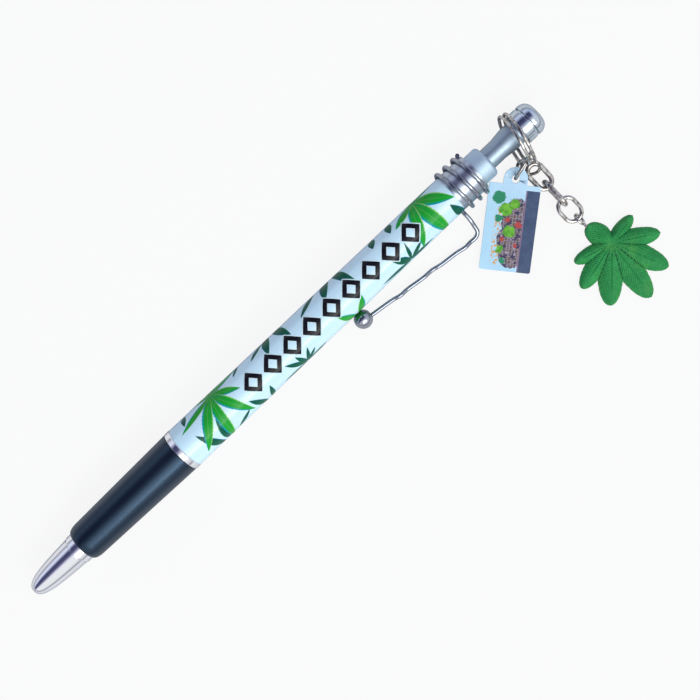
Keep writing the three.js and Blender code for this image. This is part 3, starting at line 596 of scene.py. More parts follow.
def coil_station(angle):
    wound = COIL_TOP_STATION + COIL_PITCH * (min(angle, COIL_LAST) - COIL_TOP) / 360
    return wound + COIL_LAST_ADVANCE * max(0, angle - COIL_LAST) / (COIL_END - COIL_LAST)


coil_path = [around(coil_station(a), COIL_RADIUS, a) for a in np.linspace(COIL_START, COIL_END, 300)]
bent_wire("clip_turns", coil_path, WIRE, steel, "barrel", "bright_metal", "clip_coil")

# %% [markdown]
# The return spring is a helix too, between the nose cone's seat and the stop on the refill. It can't ride on
# the refill, because its front end stays where it is, so it rides on the barrel. In the pen it is drawn
# together towards its seat as the refill comes forward by its travel.

# %% Return spring
SPRING_SEAT, SPRING_STOP, SPRING_RADIUS, SPRING_WIRE, SPRING_CURLS = 7.25, 27.05, 1.9, 0.4, 12
spring_length = SPRING_STOP - SPRING_SEAT
spring_path = [
    around(SPRING_SEAT + spring_length * share, SPRING_RADIUS, share * SPRING_CURLS * 360)
    for share in np.linspace(0, 1, SPRING_CURLS * 24 + 1)
]
spring = bent_wire(
    "spring_coils", spring_path, SPRING_WIRE, spring_wire, "barrel", "spring_steel", "return_spring",
    sides=12,
)
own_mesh(spring)

# %% [markdown]
# The arm's path goes through a few chosen points. A centripetal Catmull-Rom curve passes through each of
# them without loops at the tight bends, and it is what the solid uses, so both lie in the same place.

# %% Arm and ball
ARM_ANGLE, ARM_HEIGHT, ARM_LENGTH, BALL_RADIUS, BALL_LIFT, WAVE = 205, 11.1, 30.5, 2.05, 0.3, 0.45
ARM_STATION = coil_station(COIL_START) - 0.1
BALL_STATION = ARM_STATION - ARM_LENGTH
BALL_HEIGHT = np.interp(BALL_STATION, (BARREL_FRONT, BARREL_REAR), BARREL_RADII) + BALL_RADIUS + BALL_LIFT
CURVE_SPANS = ((0, 1), (1, 2), (2, 3)), ((0, 2), (1, 3)), ((1, 2),)


def catmull_rom(points, steps):
    points = [np.array(p, float) for p in points]
    points = [2 * points[0] - points[1], *points, 2 * points[-1] - points[-2]]
    made = []
    for four in zip(points, points[1:], points[2:], points[3:]):
        t = np.cumsum([0, *(np.linalg.norm(q - p) ** 0.5 for p, q in zip(four, four[1:]))])
        for u in np.linspace(t[1], t[2], steps, endpoint=False):
            level = four
            for spans in CURVE_SPANS:
                level = [
                    ((t[j] - u) * a + (u - t[i]) * b) / (t[j] - t[i])
                    for (i, j), a, b in zip(spans, level, level[1:])
                ]
            made += level
    return [*made, points[-2]]


def aside(station, height, shift=0):
    turn = math.radians(ARM_ANGLE)
    return around(station, height, ARM_ANGLE) + shift * np.array((0, math.sin(turn), -math.cos(turn)))


def arm_at(share, shift=0):
    fall = max(0, share - 0.07) ** 1.15
    return aside(ARM_STATION - ARM_LENGTH * share, ARM_HEIGHT + (BALL_HEIGHT - ARM_HEIGHT) * fall, shift)


arm_start = COIL_START - math.degrees(JOINT_GAP / COIL_RADIUS)
arm_points = [
    around(ARM_STATION, COIL_RADIUS, arm_start), around(ARM_STATION, COIL_RADIUS + 0.12, arm_start - 6),
    around(ARM_STATION, COIL_RADIUS + 0.75, ARM_ANGLE + 4), aside(ARM_STATION, COIL_RADIUS + 2.2),
    aside(ARM_STATION - 0.2, ARM_HEIGHT - 2.2), aside(ARM_STATION - 0.5, ARM_HEIGHT - 0.7),
    aside(ARM_STATION - 1.5, ARM_HEIGHT - 0.05), arm_at(0.1), arm_at(0.15, WAVE), arm_at(0.22),
    arm_at(0.36), arm_at(0.42, -WAVE), arm_at(0.5), arm_at(0.64), arm_at(0.7, WAVE), arm_at(0.76),
    arm_at(1 - BALL_RADIUS / ARM_LENGTH),
]
arm_path = catmull_rom(arm_points, 12)
arm_path.append(arm_path[-1] + np.array((-0.3, 0, 0)))
bent_wire("clip_wire", arm_path, WIRE, steel, "clip", "bright_metal", "clip_arm")


def ball_outline():
    """The ball's outline about its own middle: round, with a small socket for the wire."""
    made = [(-BALL_RADIUS, 0), *on_circle(BALL_RADIUS, np.radians(np.linspace(178, 19, 40)))]
    return [*made, (BALL_RADIUS - 0.2, 0.62), (BALL_RADIUS - 0.35, 0.6), (BALL_RADIUS - 0.4, 0)]


centre = around(BALL_STATION, BALL_HEIGHT, ARM_ANGLE)
points, faces = spun([(x + PEN_LENGTH, r) for x, r in ball_outline()], sides=64)
points = [p + centre for p in points]
settle(make_mesh("clip_knob", points, outward(points, faces), steel), "clip", "bright_metal", "clip_ball")

# %% [markdown]
# ## Rings and chain
#
# The split ring is a wire of nearly two turns. A jump ring joins it to the tag, and a small ring joins it
# to a chain of three links and an eye in the leaf. Each is a flat path that is turned into place.

# %% Placing flat paths
def turn_matrix(x=0.0, y=0.0, z=0.0):
    """Turns about X first, then Y, then Z, in degrees."""
    about_x, about_y, about_z = (Matrix.Rotation(math.radians(a), 3, w) for a, w in zip((x, y, z), "XYZ"))
    return np.array(about_z @ about_y @ about_x)


def placed(path, centre, turns):
    return [turns @ np.array(p) + np.array(centre) for p in path]


def circle_path(radius, steps=96):
    return [(x, y, 0) for x, y in on_circle(radius, np.linspace(0, 2 * math.pi, steps, endpoint=False))]


def link_path(half_width, half_length, steps=96):
    """Two round ends and two straight sides, long along Y."""
    straight, angles = half_length - half_width, (np.arange(steps) + 0.5) / steps * 2 * math.pi
    return [(x, y + math.copysign(straight, y), 0) for x, y in on_circle(half_width, angles)]


def split_path(radius, wraps, pitch, start=200):
    """A flat coil about X that starts at an angle."""
    shares = np.linspace(0, 1, 220)
    circle = on_circle(radius, np.radians(start + shares * wraps * 360))
    return [(pitch * wraps * (share - 0.5), y, z) for share, (y, z) in zip(shares, circle)]


# %% Rings and chain: name, body, solid, thickness, path, place and turns
split_ring = split_path(5.7, 1.95, 1.15)
NICKEL_WIRES = [
    ("key_ring", "split_ring", "split_ring", 0.7, split_ring, (-6.9, -1.2, 0.85), (0, 0, -13)),
    ("jump_ring", "tag_ring", "tag_ring", 0.75, circle_path(3.05), (-8.98, -5.94, -1.8), (90, 0, 16.5)),
    ("small_ring", "chain_ring", "chain_ring", 0.66, circle_path(2.31), (-8.33, -6.94, -2.08),
     (55.67, -8.53, -48.25)),
    ("link_near", "link_1", "chain_link_1", 1.08, link_path(1.65, 3.0), (-7.9, -9.95, -3.09), (6.2, 0, 0)),
    ("link_middle", "link_2", "chain_link_2", 1.05, link_path(1.5, 3.2), (-7.95, -14.7, -3.25), (0, 90, 0)),
    ("link_far", "link_3", "chain_link_3", 0.9, link_path(1.95, 2.7), (-7.95, -19.3, -3.7), (5, 0, 0)),
]
for name, body, node, wire, path, place, turns in NICKEL_WIRES:
    closed, path = path is not split_ring, placed(path, place, turn_matrix(*turns))
    bent_wire(name, path, wire, nickel, body, "nickel", node, closed=closed, sides=20)

# %% [markdown]
# ## Tag
#
# The tag is a thin plate with square corners and a round ear for the ring. Its top carries a small
# printed picture under clear lacquer, an invented one: bushes and blossoms on a patterned ground over a
# dark blue band. The print reads a UV map that is laid on from above.

# %% Tag plate
TAG_HOLE, TAG_DIRECTION, TAG_SLOPE = (-11.98, -6.96, -2), 40.2, 8.5
TAG_WIDTH, TAG_LENGTH, TAG_THICKNESS = 10.72, 18.2, 0.77
EAR_RADIUS, EAR_RISE, HOLE_RADIUS, CORNER = 2.5, 1.1, 0.85, 0.4
EDGE_WIDTH, EDGE_ANGLE, PRINT_SPAN = 0.09, 40, 22


def lay_print(mesh, spots):
    """A UV map from one spot for each point."""
    layer = mesh.uv_layers.new(name="print")
    for loop in mesh.loops:
        layer.data[loop.index].uv = spots[loop.vertex_index]


def tag_outline():
    top, bottom, side = -EAR_RISE, -EAR_RISE - TAG_LENGTH, TAG_WIDTH / 2
    made = [(top, -side), (top, -EAR_RADIUS)]
    made += on_circle(EAR_RADIUS, np.linspace(-math.pi / 2, math.pi / 2, 41))
    made += [(top, EAR_RADIUS), (top, side)]
    for middle, start in ((side - CORNER, 90), (CORNER - side, 180)):
        for x, y in on_circle(CORNER, np.radians(np.linspace(start, start + 90, 9))):
            made.append((bottom + CORNER + x, middle + y))
    return made


def tag_mesh(name, material):
    rim = tag_outline()
    hole = on_circle(HOLE_RADIUS, -np.arange(40) * math.pi / 20)
    edges = [(i, (i + 1) % len(rim)) for i in range(len(rim))]
    edges += [(len(rim) + i, len(rim) + (i + 1) % len(hole)) for i in range(len(hole))]
    flat = [Vector(p) for p in rim + hole]
    corners, _, triangles, sources, _, _ = delaunay_2d_cdt(flat, edges, [], 1, 1e-7)
    made_from = {source: i for i, group in enumerate(sources) for source in group}
    middles = [np.mean([corners[i] for i in face], axis=0) for face in triangles]
    tops = [face for face, middle in zip(triangles, middles) if np.hypot(*middle) > HOLE_RADIUS * 0.98]
    half, count = TAG_THICKNESS / 2, len(corners)
    points = [(x, y, level) for level in (half, -half) for x, y in corners]
    faces = [list(face) for face in tops] + [[i + count for i in reversed(face)] for face in tops]
    for a, b in [(made_from[a], made_from[b]) for a, b in edges]:
        faces.append([b, a, a + count, b + count])
    turns = turn_matrix(z=TAG_DIRECTION) @ turn_matrix(y=-TAG_SLOPE)
    made = make_mesh(name, placed(points, TAG_HOLE, turns), faces, material)
    low, left = EAR_RISE + TAG_LENGTH, TAG_WIDTH / 2
    lay_print(made.data, [((x + low) / PRINT_SPAN, (y + left) / PRINT_SPAN) for x, y, _ in points])
    edge = made.modifiers.new("edge", "BEVEL")
    edge.width = EDGE_WIDTH * MM
    edge.segments = 2
    edge.limit_method = "ANGLE"
    edge.angle_limit = math.radians(EDGE_ANGLE)
    edge.harden_normals = True
    return made


# %% Tag print
BARK, MAUVE, DUSK, PALE = (0.13, 0.08, 0.06), (0.15, 0.10, 0.15), (0.035, 0.030, 0.085), (0.36, 0.34, 0.42)
LIME, PINE, AMBER, BERRY = (0.16, 0.48, 0.03), (0.012, 0.24, 0.12), (0.66, 0.33, 0.08), (0.42, 0.05, 0.05)


class TagPrint(Finish):
    """A picture built up from blobs with ragged edges, in millimetres along and across the tag."""

    def __init__(self):
        super().__init__("tag_print", (0.35, 0.6, 0.8), 0.3, Specular_IOR_Level=0.25, Coat_Weight=0.15)
        self.along, self.across = (part * PRINT_SPAN for part in self.split(self.uv_map())[:2])
        self.ragged = self.noise(0.7, detail=5)
        clouds = self.blend(self.noise(4), (0.36, 0.63, 0.83), (0.52, 0.77, 0.92))
        # Towards the ear the ground turns paler: painted light on the raised end of the tag.
        self.ground = self.blend(self.along.step(13, 20) * 0.7, clouds, (0.54, 0.74, 0.93))

    def paint(self, share, colour):
        self.ground = self.blend(share, self.ground, colour)

    def blob(self, along, across, radius, soft=0.1):
        reach = ((self.along - along) ** 2 + (self.across - across) ** 2) ** 0.5
        return (reach + self.ragged * 1.2 - 0.6).step(radius + soft, radius - soft)


def tag_print():
    made = TagPrint()
    along, across = made.along, made.across
    fringe = made.noise(0.5, detail=5).step(0.5, 0.56) * across.step(6.9, 7.3) * across.step(9.0, 8.4)
    made.paint(fringe * along.step(1.0, 1.6) * along.step(13.5, 12.5), AMBER)
    ground = made.blob(3.2, 4.6, 2.5)
    for spot in ((6.6, 5.0, 2.9), (10.4, 4.7, 2.7), (13.3, 4.4, 2.1)):
        ground = ground.math("MAXIMUM", made.blob(*spot))
    bricks = {"Vector": made.uv_map(), "Scale": PRINT_SPAN, "Mortar Size": 0.045, "Bias": -0.1}
    bricks |= {"Brick Width": 0.8, "Row Height": 0.62}
    bricks |= {"Color1": (*BARK, 1), "Color2": (*MAUVE, 1), "Mortar": (*PALE, 1)}
    patches = made.amount("ShaderNodeTexBrick", bricks, offset=0.37, squash=0.6)
    made.paint(ground, made.blend(made.noise(1.1, detail=2).step(0.5, 0.58), patches, DUSK))
    made.paint(ground * made.noise(0.9, detail=2).step(0.62, 0.66), PALE)
    leaves = made.blend(made.ragged.step(0.35, 0.6), (0.07, 0.30, 0.02), LIME)
    for colour, *spots in (
        (leaves, (4.6, 7.0, 0.8), (8.4, 5.4, 1.25), (12.9, 6.6, 1.35), (14.2, 4.9, 1.0)),
        (PINE, (2.2, 6.2, 0.6), (10.9, 7.9, 0.8), (15.3, 8.3, 1.3)),
        (BERRY, (5.6, 3.9, 0.45), (9.9, 3.7, 0.7), (10.8, 6.0, 0.45), (6.7, 6.7, 0.5)),
    ):
        for spot in spots:
            made.paint(made.blob(*spot), colour)
    made.paint(across.step(3.0, 2.8) * along.step(17.2, 17.1), (0.22, 0.14, 0.24))
    water = made.noise(0.8, detail=4, stretch=(0.5, 0.5, 1))
    band = made.blend(water, (0.022, 0.045, 0.105), (0.06, 0.10, 0.20))
    made.paint(across.step(2.7, 2.6) * along.step(17.2, 17.1), band)
    return made.finished(made.ground, water * 0.1 + 0.22, water, 0.008)


settle(tag_mesh("printed_tag", tag_print()), "tag", "tag_print", "tag")

# %% [markdown]
# ## Leaf charm
#
# The leaf is cast in one mould: seven long lobes and a stalk that run out from one point. Each lobe is
# domed, with a groove, slanting veins and a toothed edge. Seen from the centre, every direction leaves the
# leaf only once, so the top is one height over rings and rays: that of the tallest lobe at each point,
# which gives sharp creases between lobes.

# %% Heights of the leaf
LEAF_CENTRE = np.array((-6.5, -30.3))
LEAF_BASE, LEAF_RIM, LEAF_TOP = TABLE_HEIGHT, 1.0, 2.6
HUB_DROP, HUB_RADIUS, LEAF_INSET = 0.35, 1.2, 0.999
GROOVE_WIDTH, GROOVE_DEPTH, VEIN_PITCH, VEIN_DEPTH, CREASE_WIDTH = 0.12, 0.16, 0.6, 0.07, 0.16
LOBES = [
    (9, 7.2, 1.6), (-31.6, 10.4, 2.15), (-66, 12.95, 2.6), (-96.8, 14.1, 2.8),
    (-133.4, 13.1, 2.75), (-165.4, 11.2, 2.2), (165, 8.5, 1.7), (101, 6.2, 2.4),
]


def lobe_width(share, half_width):
    """Half the lobe's width at a share of its length, with small teeth."""
    inside = np.clip(share, 0, 1)
    swell = np.sin(np.pi * np.minimum(1, 0.16 + 0.84 * inside**1.25))
    blunt = np.clip((inside - 0.5) / 0.3, 0, 1)
    teeth = 1 - 0.035 * ((inside * 11) % 1.0)
    return half_width * np.maximum(swell ** (0.75 - 0.3 * blunt), 0.02) * teeth


def lobe_heights(x, y):
    """At each point the tallest lobe's height, how far inside it that is, its lines, a mask for the painted
    shade in the groove and the creases, and its veins.
    """
    best, second, depth, line, phase = (np.full(x.shape, -1.0) for _ in range(5))
    for angle, length, half_width in LOBES:
        turn = math.radians(angle)
        share = (x * math.cos(turn) + y * math.sin(turn)) / length
        off_middle = np.abs(y * math.cos(turn) - x * math.sin(turn))
        ratio = off_middle / lobe_width(share, half_width)
        crown = LEAF_RIM + (LEAF_TOP - 0.1 - LEAF_RIM) * (1 - 0.45 * np.clip(share, 0, 1) ** 2)
        height = LEAF_RIM + (crown - LEAF_RIM) * (1 - np.clip(ratio, 0, 1) ** 2)
        fade = np.clip(share * 5, 0, 1) * np.clip((1 - share) * 3, 0, 1)
        groove = np.exp(-((off_middle / GROOVE_WIDTH) ** 2)) * fade
        slanted = (share * length - off_middle * 1.1) / VEIN_PITCH
        veins = (0.5 + 0.5 * np.cos(2 * np.pi * slanted)) * fade
        height = height - groove * GROOVE_DEPTH - veins * VEIN_DEPTH
        within = np.where((share < 1) & (share > -0.02), 1 - ratio, -1)
        height = np.where(within > 0, height, -1)
        taller = height > best
        second = np.where(taller, best, np.maximum(second, height))
        line, phase, depth, best = (
            np.where(taller, new, old)
            for new, old in ((groove * 0.35, line), (slanted, phase), (within, depth), (height, best))
        )
    # Where two lobes stand about as tall lies a crease, and shade is painted there.
    crease = np.exp(-(((best - second) / CREASE_WIDTH) ** 2)) * np.clip(np.hypot(x, y) / 3, 0, 1)
    return best, depth, np.maximum(line, crease), phase


def leaf_reach(angles):
    """How far the leaf reaches in each direction."""
    steps = np.linspace(0.2, 14.2, 1401)
    gone = lobe_heights(np.outer(np.cos(angles), steps), np.outer(np.sin(angles), steps))[1] <= 0
    return np.where(gone.any(axis=1), steps[np.argmax(gone, axis=1)], steps[-1])


# %% Leaf mesh
def leaf_mesh(name, material, rays=960, rings=80):
    """Rings round a hub, then two rings for the edge and a foot. Each point has a dome, a line, a vein."""
    angles = np.linspace(0, 2 * math.pi, rays, endpoint=False)
    reach = leaf_reach(angles)
    rows = []

    def add_ring(x, y, *columns):
        x, y = np.atleast_1d(x) + LEAF_CENTRE[0], np.atleast_1d(y) + LEAF_CENTRE[1]
        rows.append(np.column_stack([np.broadcast_to(c, x.shape) for c in (x, y, *columns)]))

    add_ring(0, 0, LEAF_BASE + LEAF_TOP - HUB_DROP, 1.0, 0.5, 0.0)
    for share in np.linspace(0, 1, rings + 1)[1:]:
        x, y = (reach * share * LEAF_INSET * way(angles) for way in (np.cos, np.sin))
        height, depth, line, phase = lobe_heights(x, y)
        hub = np.exp(-((np.hypot(x, y) / HUB_RADIUS) ** 2))
        height = np.clip(height, LEAF_RIM * 0.85, None) * (1 - hub) + (LEAF_TOP - HUB_DROP) * hub
        add_ring(x, y, LEAF_BASE + height, np.clip(depth, 0, 1), line, phase)
    for level, shrink in ((0.45, 1.0), (0.0, 0.985)):
        x, y = (reach * LEAF_INSET * shrink * way(angles) for way in (np.cos, np.sin))
        add_ring(x, y, LEAF_BASE + level, 0.0, 0.0, phase)
    add_ring(0, 0, LEAF_BASE, 0.0, 0.0, 0.0)
    table = np.vstack(rows)
    faces, last, foot = [], 1 + (rings + 1) * rays, len(table) - 1
    for a in range(1, last, rays):
        faces += [[a + k, a + k + rays, a + rays + (k + 1) % rays, a + (k + 1) % rays] for k in range(rays)]
    faces = [[0, 1 + k, 1 + (k + 1) % rays] for k in range(rays)] + faces
    faces += [[foot, last + (k + 1) % rays, last + k] for k in range(rays)]
    made = make_mesh(name, table[:, :3], outward(table[:, :3], faces), material)
    for column, label in enumerate(("dome", "line", "vein"), 3):
        values = made.data.attributes.new(label, "FLOAT", "POINT").data
        values.foreach_set("value", table[:, column].tolist())
    return made


def leaf_resin():
    made = Finish("leaf_resin", (0.02, 0.24, 0.07), 0.5, Specular_IOR_Level=0.15)
    dome, line, vein = (
        made.amount("ShaderNodeAttribute", None, 2, attribute_name=label)
        for label in ("dome", "line", "vein")
    )
    vein = (vein * (2 * math.pi)).math("COSINE") * 0.5 + 0.5
    cloud, grain = made.noise(2.2, detail=4), made.noise(0.25)
    colour = made.blend(cloud, (0.012, 0.20, 0.050), (0.046, 0.37, 0.098))
    # Near each lobe's edge the green turns lighter: a painted highlight on the sloping edges.
    colour = made.blend(dome.step(0.25, 0.0) * 0.5, colour, (0.075, 0.38, 0.12))
    colour = made.blend(made.noise(4).step(0.5, 0.75) * 0.5, colour, (0.085, 0.35, 0.07))
    # The vein grooves are darker, in patches set by noise: painted shade in the hollows.
    colour = made.blend(vein * made.noise(0.8).step(0.2, 0.8) * 0.55, colour, (0.006, 0.105, 0.035))
    # Along each lobe's groove and in the creases it is darkest: painted shade.
    colour = made.blend(line.step(0.1, 1.0) * 0.85, colour, (0.002, 0.055, 0.022))
    return made.finished(colour, cloud * 0.2 + 0.4, grain - vein * 0.8, 0.03)


settle(leaf_mesh("moulded_leaf", leaf_resin()), "leaf", "charm_resin", "leaf_charm")

# %% [markdown]
# The eye is a small ring with a straight shank that goes into the stalk.

# %% Eye
EYE_CENTRE, EYE_RADIUS = (-7.85, -22.15, -3.95), 1.2
eye_turn = turn_matrix(y=60)
ring_points = placed(circle_path(EYE_RADIUS, 64), EYE_CENTRE, eye_turn)
shank_points = placed([(0, -1.15 - 2.2 * i / 6, 0) for i in range(7)], EYE_CENTRE, eye_turn)
bent_wire("eye_ring", ring_points, 0.62, nickel, "leaf", "nickel", "leaf_eye", closed=True, sides=16)
bent_wire("eye_shank", shank_points, 0.65, nickel, "leaf", "nickel", sides=16)

# %% [markdown]
# ## Print on the barrel, by Geometry Nodes
#
# The barrel is printed all round with toothed leaves, in bright and dark green, with a row of black
# lozenges along the middle. The print is laid out flat, in millimetres along the barrel and round it. A
# tree puts one lobe on every point, turned and sized by its attributes, and bends the sheet round the
# barrel, a few hundredths of a millimetre above it.

# %% A tree that lays shapes out flat and wraps them round the barrel
def print_tree():
    tree, graph, given = new_tree("wrapped_print", Shape="Object", Lift="Float", Ink="Material")
    turn, size = (
        graph.amount("GeometryNodeInputNamedAttribute", {"Name": name}, data_type=kind)
        for name, kind in (("turn", "FLOAT"), ("size", "FLOAT_VECTOR"))
    )
    shape = graph.node("GeometryNodeObjectInfo", {"Object": given["Shape"]}).outputs["Geometry"]
    about = graph.amount("ShaderNodeCombineXYZ", {"Z": turn})
    along, round_by, _ = graph.split(graph.node("GeometryNodeInputPosition").outputs[0])
    share = (along - BARREL_FRONT * MM) / ((BARREL_REAR - BARREL_FRONT) * MM)
    radius = share * (BARREL_RADII[1] - BARREL_RADII[0]) * MM + BARREL_RADII[0] * MM
    angle, out = round_by / radius, radius + Amount(graph, given["Lift"])
    across, up = out * angle.math("SINE") * -1, out * angle.math("COSINE")
    bent = {"X": along - PEN_LENGTH * MM, "Y": across, "Z": up}
    graph.chain(
        given["Geometry"],
        ("InstanceOnPoints", "Points", {"Instance": shape, "Rotation": about, "Scale": size}),
        ("RealizeInstances", "Geometry", {}),
        ("SetPosition", "Geometry", {"Position": graph.amount("ShaderNodeCombineXYZ", bent)}),
        ("FlipFaces", "Mesh", {}),
        ("SetMaterial", "Geometry", {"Material": given["Ink"]}),
    )
    return tree


WRAPPED_PRINT = print_tree()

# %% [markdown]
# One lobe is drawn once, one unit long and one unit to either side. Its UV map says how far along and
# across a point lies, which is all that the ink needs: a pale vein in the middle, a yellow edge on one
# side, and a blue one on the other, as from inks that were printed slightly out of line.

# %% The lobe, the lozenge and their inks
INK_GLOSS = {"Specular_IOR_Level": 0.12, "Coat_Weight": 0.1, "Coat_Roughness": 0.06}


def sheet(name, rows, uv):
    """A flat grid from rows of points, kept as a shape for the tree to copy."""
    width = len(rows[0])
    starts = [i * width + k for i in range(len(rows) - 1) for k in range(width - 1)]
    faces = [(a, a + width, a + width + 1, a + 1) for a in starts]
    mesh = bpy.data.meshes.new(name)
    mesh.from_pydata([(x, y, 0) for row in rows for x, y in row], [], faces)
    lay_print(mesh, uv)
    return bpy.data.objects.new(name, mesh)


def leaf_lobe_shape():
    rows, uv = [], []
    for i in range(61):
        share = i / 60
        swell = math.sin(math.pi * share**0.8) ** 0.85 if 0 < share < 1 else 0
        tooth = 1 - 0.1 * ((share * 15) % 1.0)
        rows.append([(share + 0.02 * abs(k) / 5, k / 5 * swell * tooth) for k in range(-5, 6)])
        uv += [(share, 0.5 + k / 10) for k in range(-5, 6)]
    return sheet("lobe_shape", rows, uv)


def lozenge_shape(outer, inner):
    corners = [(1, 0), (0, 1), (-1, 0), (0, -1), (1, 0), (0, 1)]
    rows, uv = [], []
    for i in range(33):
        side, share = divmod(i / 8, 1)
        x, y = (a + (b - a) * share for a, b in zip(corners[int(side)], corners[int(side) + 1]))
        rows.append([(x * r, y * r) for r in np.linspace(outer, inner, 6)])
        uv += [(i / 32, k / 5) for k in range(6)]
    return sheet("lozenge_shape", rows, uv)


def leaf_ink(name, middle, edge, vein, fringe):
    made = Finish(name, middle, 0.3, **INK_GLOSS)
    along, across, _ = made.split(made.uv_map())
    cloud = made.noise(1.6)
    stripe = (across - 0.5).math("ABSOLUTE").step(0.05, 0.01) * along.step(0.95, 0.6)
    colour = made.blend(stripe * 0.13, made.blend(cloud, middle, edge), vein)
    colour = made.blend(across.step(0.78, 0.98), colour, fringe)
    colour = made.blend(across.step(0.14, 0.0) * 0.8, colour, vein)
    return made.finished(colour, cloud * 0.06 + 0.2)


def flat_ink(name, colour):
    tones = colour, [0.85 * c + 0.006 for c in colour]
    return mottled(name, colour, 0.3, tones, (0.2, 0.06), 0, {"size": 0.5}, **INK_GLOSS)


BRIGHT_TONES = (0.008, 0.38, 0.028), (0.02, 0.29, 0.04), (0.42, 0.75, 0.25), (0.0, 0.30, 0.42)
DARK_TONES = (0.002, 0.12, 0.060), (0.003, 0.07, 0.06), (0.04, 0.26, 0.12), (0.0, 0.13, 0.18)
bright_ink = leaf_ink("bright_leaf_ink", *BRIGHT_TONES)
dark_ink = leaf_ink("dark_leaf_ink", *DARK_TONES)
white_ink = flat_ink("white_keyline", (0.66, 0.85, 0.92))
black_ink = flat_ink("black_ink", (0.005, 0.005, 0.011))
print("inks:", bright_ink.name, dark_ink.name, white_ink.name, black_ink.name)

# %% Where the lobes lie: a root's station and way round, then the same and half the width at each tip
BRIGHT = [
    (56.1, -4.8, (46.7, -2.1, 0.8), (48.1, 4.7, 1.25), (53.8, 8.6, 1.2), (61.2, 5.1, 1.2), (62.1, -1.0, 0.9),
     (63.9, -6.3, 0.8), (49.6, -8.6, 0.8), (55.0, -12.0, 1.0), (60.6, -10.6, 1.0)),
    (113.4, -5.2, (107.6, -2.5, 1.0), (109.5, 5.0, 1.3), (116.0, 8.0, 1.6), (120.6, 0.9, 1.5),
     (119.7, -6.3, 0.8), (115.9, -11.4, 1.0), (109.5, -10.4, 0.9)),
    (89.9, 7.4, (86.6, 2.6, 0.95)), (90.4, 7.4, (93.3, 2.6, 0.95)),
    (90.2, 7.4, (84.0, 9.0, 0.9), (97.0, 9.4, 0.9), (87.4, 13.6, 0.9), (93.4, 13.8, 0.9)),
    (73.6, -13.6, (66.4, -11.2, 0.8), (80.6, -11.6, 0.8), (76.6, -8.6, 0.8)),
]
DARK = [
    (72.7, -7.4, (71.1, -1.8, 0.9)), (74.4, -7.4, (77.3, -1.8, 0.9)), (86.3, -6.4, (81.1, -2.9, 0.6)),
    (89.9, -7.9, (87.2, -1.8, 1.0)), (91.2, -7.9, (94.6, 0.4, 0.9)), (51.9, 7.5, (48.6, 0.1, 0.8)),
    (53.0, 7.0, (54.9, -0.8, 1.1)), (55.9, 6.6, (60.5, 4.0, 0.45)), (64.3, 7.3, (61.5, 2.5, 0.7)),
    (65.6, 7.4, (66.8, 3.2, 0.55)),
    (75.9, 6.3, (71.9, 2.4, 0.6), (74.6, 2.5, 0.5), (77.8, 2.7, 0.4), (79.0, 4.1, 0.4)),
    (75.9, 6.6, (69.6, 6.0, 0.5), (81.5, 5.8, 0.5)),
    (105.9, 5.3, (102.6, 1.9, 0.8), (106.9, 0.8, 0.35), (109.9, 2.9, 0.45)),
    (105.9, 5.4, (98.1, 4.9, 0.5), (112.0, 5.2, 0.5)),
    (120.4, 7.2, (119.0, 1.6, 0.85)), (102.5, -6.1, (101.5, -3.0, 0.8)), (106.9, -6.1, (106.3, -2.8, 0.8)),
    (64.3, -6.2, (62.4, -4.0, 0.4)), (71.2, -6.2, (67.3, -3.7, 0.5)), (48.8, -6.4, (48.1, -3.3, 0.6)),
    (63.8, 11.6, (57.6, 9.8, 0.8), (70.0, 10.2, 0.8), (63.0, 14.2, 0.7)),
    (101.6, 12.4, (95.6, 11.6, 0.8), (107.6, 10.8, 0.8), (104.4, 8.2, 0.7)),
    (99.0, -9.8, (93.0, -8.6, 0.8), (104.6, -11.8, 0.8), (97.2, -13.8, 0.7)),
    (81.4, -10.6, (86.8, -12.2, 0.8), (78.0, -8.0, 0.6)),
]


def scatter(name, shape, lift, ink, spots):
    """spots holds place, turn and size of each copy, in millimetres and radians."""
    seed = bpy.data.meshes.new("spots")
    seed.from_pydata([(x * MM, y * MM, 0) for x, y, _, _, _ in spots], [], [])
    seed.attributes.new("turn", "FLOAT", "POINT").data.foreach_set("value", [s[2] for s in spots])
    sizes = [v for s in spots for v in (s[3] * MM, s[4] * MM, 1.0)]
    seed.attributes.new("size", "FLOAT_VECTOR", "POINT").data.foreach_set("vector", sizes)
    made = grown(name, seed, WRAPPED_PRINT, {"Shape": shape, "Lift": lift * MM, "Ink": ink})
    made.data.polygons.foreach_set("use_smooth", [True] * len(made.data.polygons))
    settle(made, "barrel", "barrel_plastic")


def lobe_spots(leaves, wider=1.0):
    made = []
    for x, y, *tips in leaves:
        for tip_x, tip_y, half_width in tips:
            turn, length = math.atan2(tip_y - y, tip_x - x), math.hypot(tip_x - x, tip_y - y)
            made.append((x, y, turn, length, half_width * wider))
    return made


lobe = leaf_lobe_shape()
scatter("dark_leaves", lobe, 0.010, dark_ink, lobe_spots(DARK, wider=1.2))
scatter("bright_leaves", lobe, 0.018, bright_ink, lobe_spots(BRIGHT))
lozenges = [(64.9 + 5.55 * i, 0.15, 0.0, 2.5, 2.75) for i in range(9)]
scatter("lozenge_keyline", lozenge_shape(1.12, 0.36), 0.026, white_ink, lozenges)
scatter("lozenges", lozenge_shape(1.0, 0.48), 0.034, black_ink, lozenges)

# %% [markdown]
# ## Table and light
#
# A photographer would lay the pen on a white sheet under one large soft lamp and a long narrow one. The
# narrow lamp draws the highlight along the barrel and the grip.

# %% Table
TABLE_MIDDLE, TABLE_HALF, TABLE_GAP = (-70, 0), 2500, 0.03


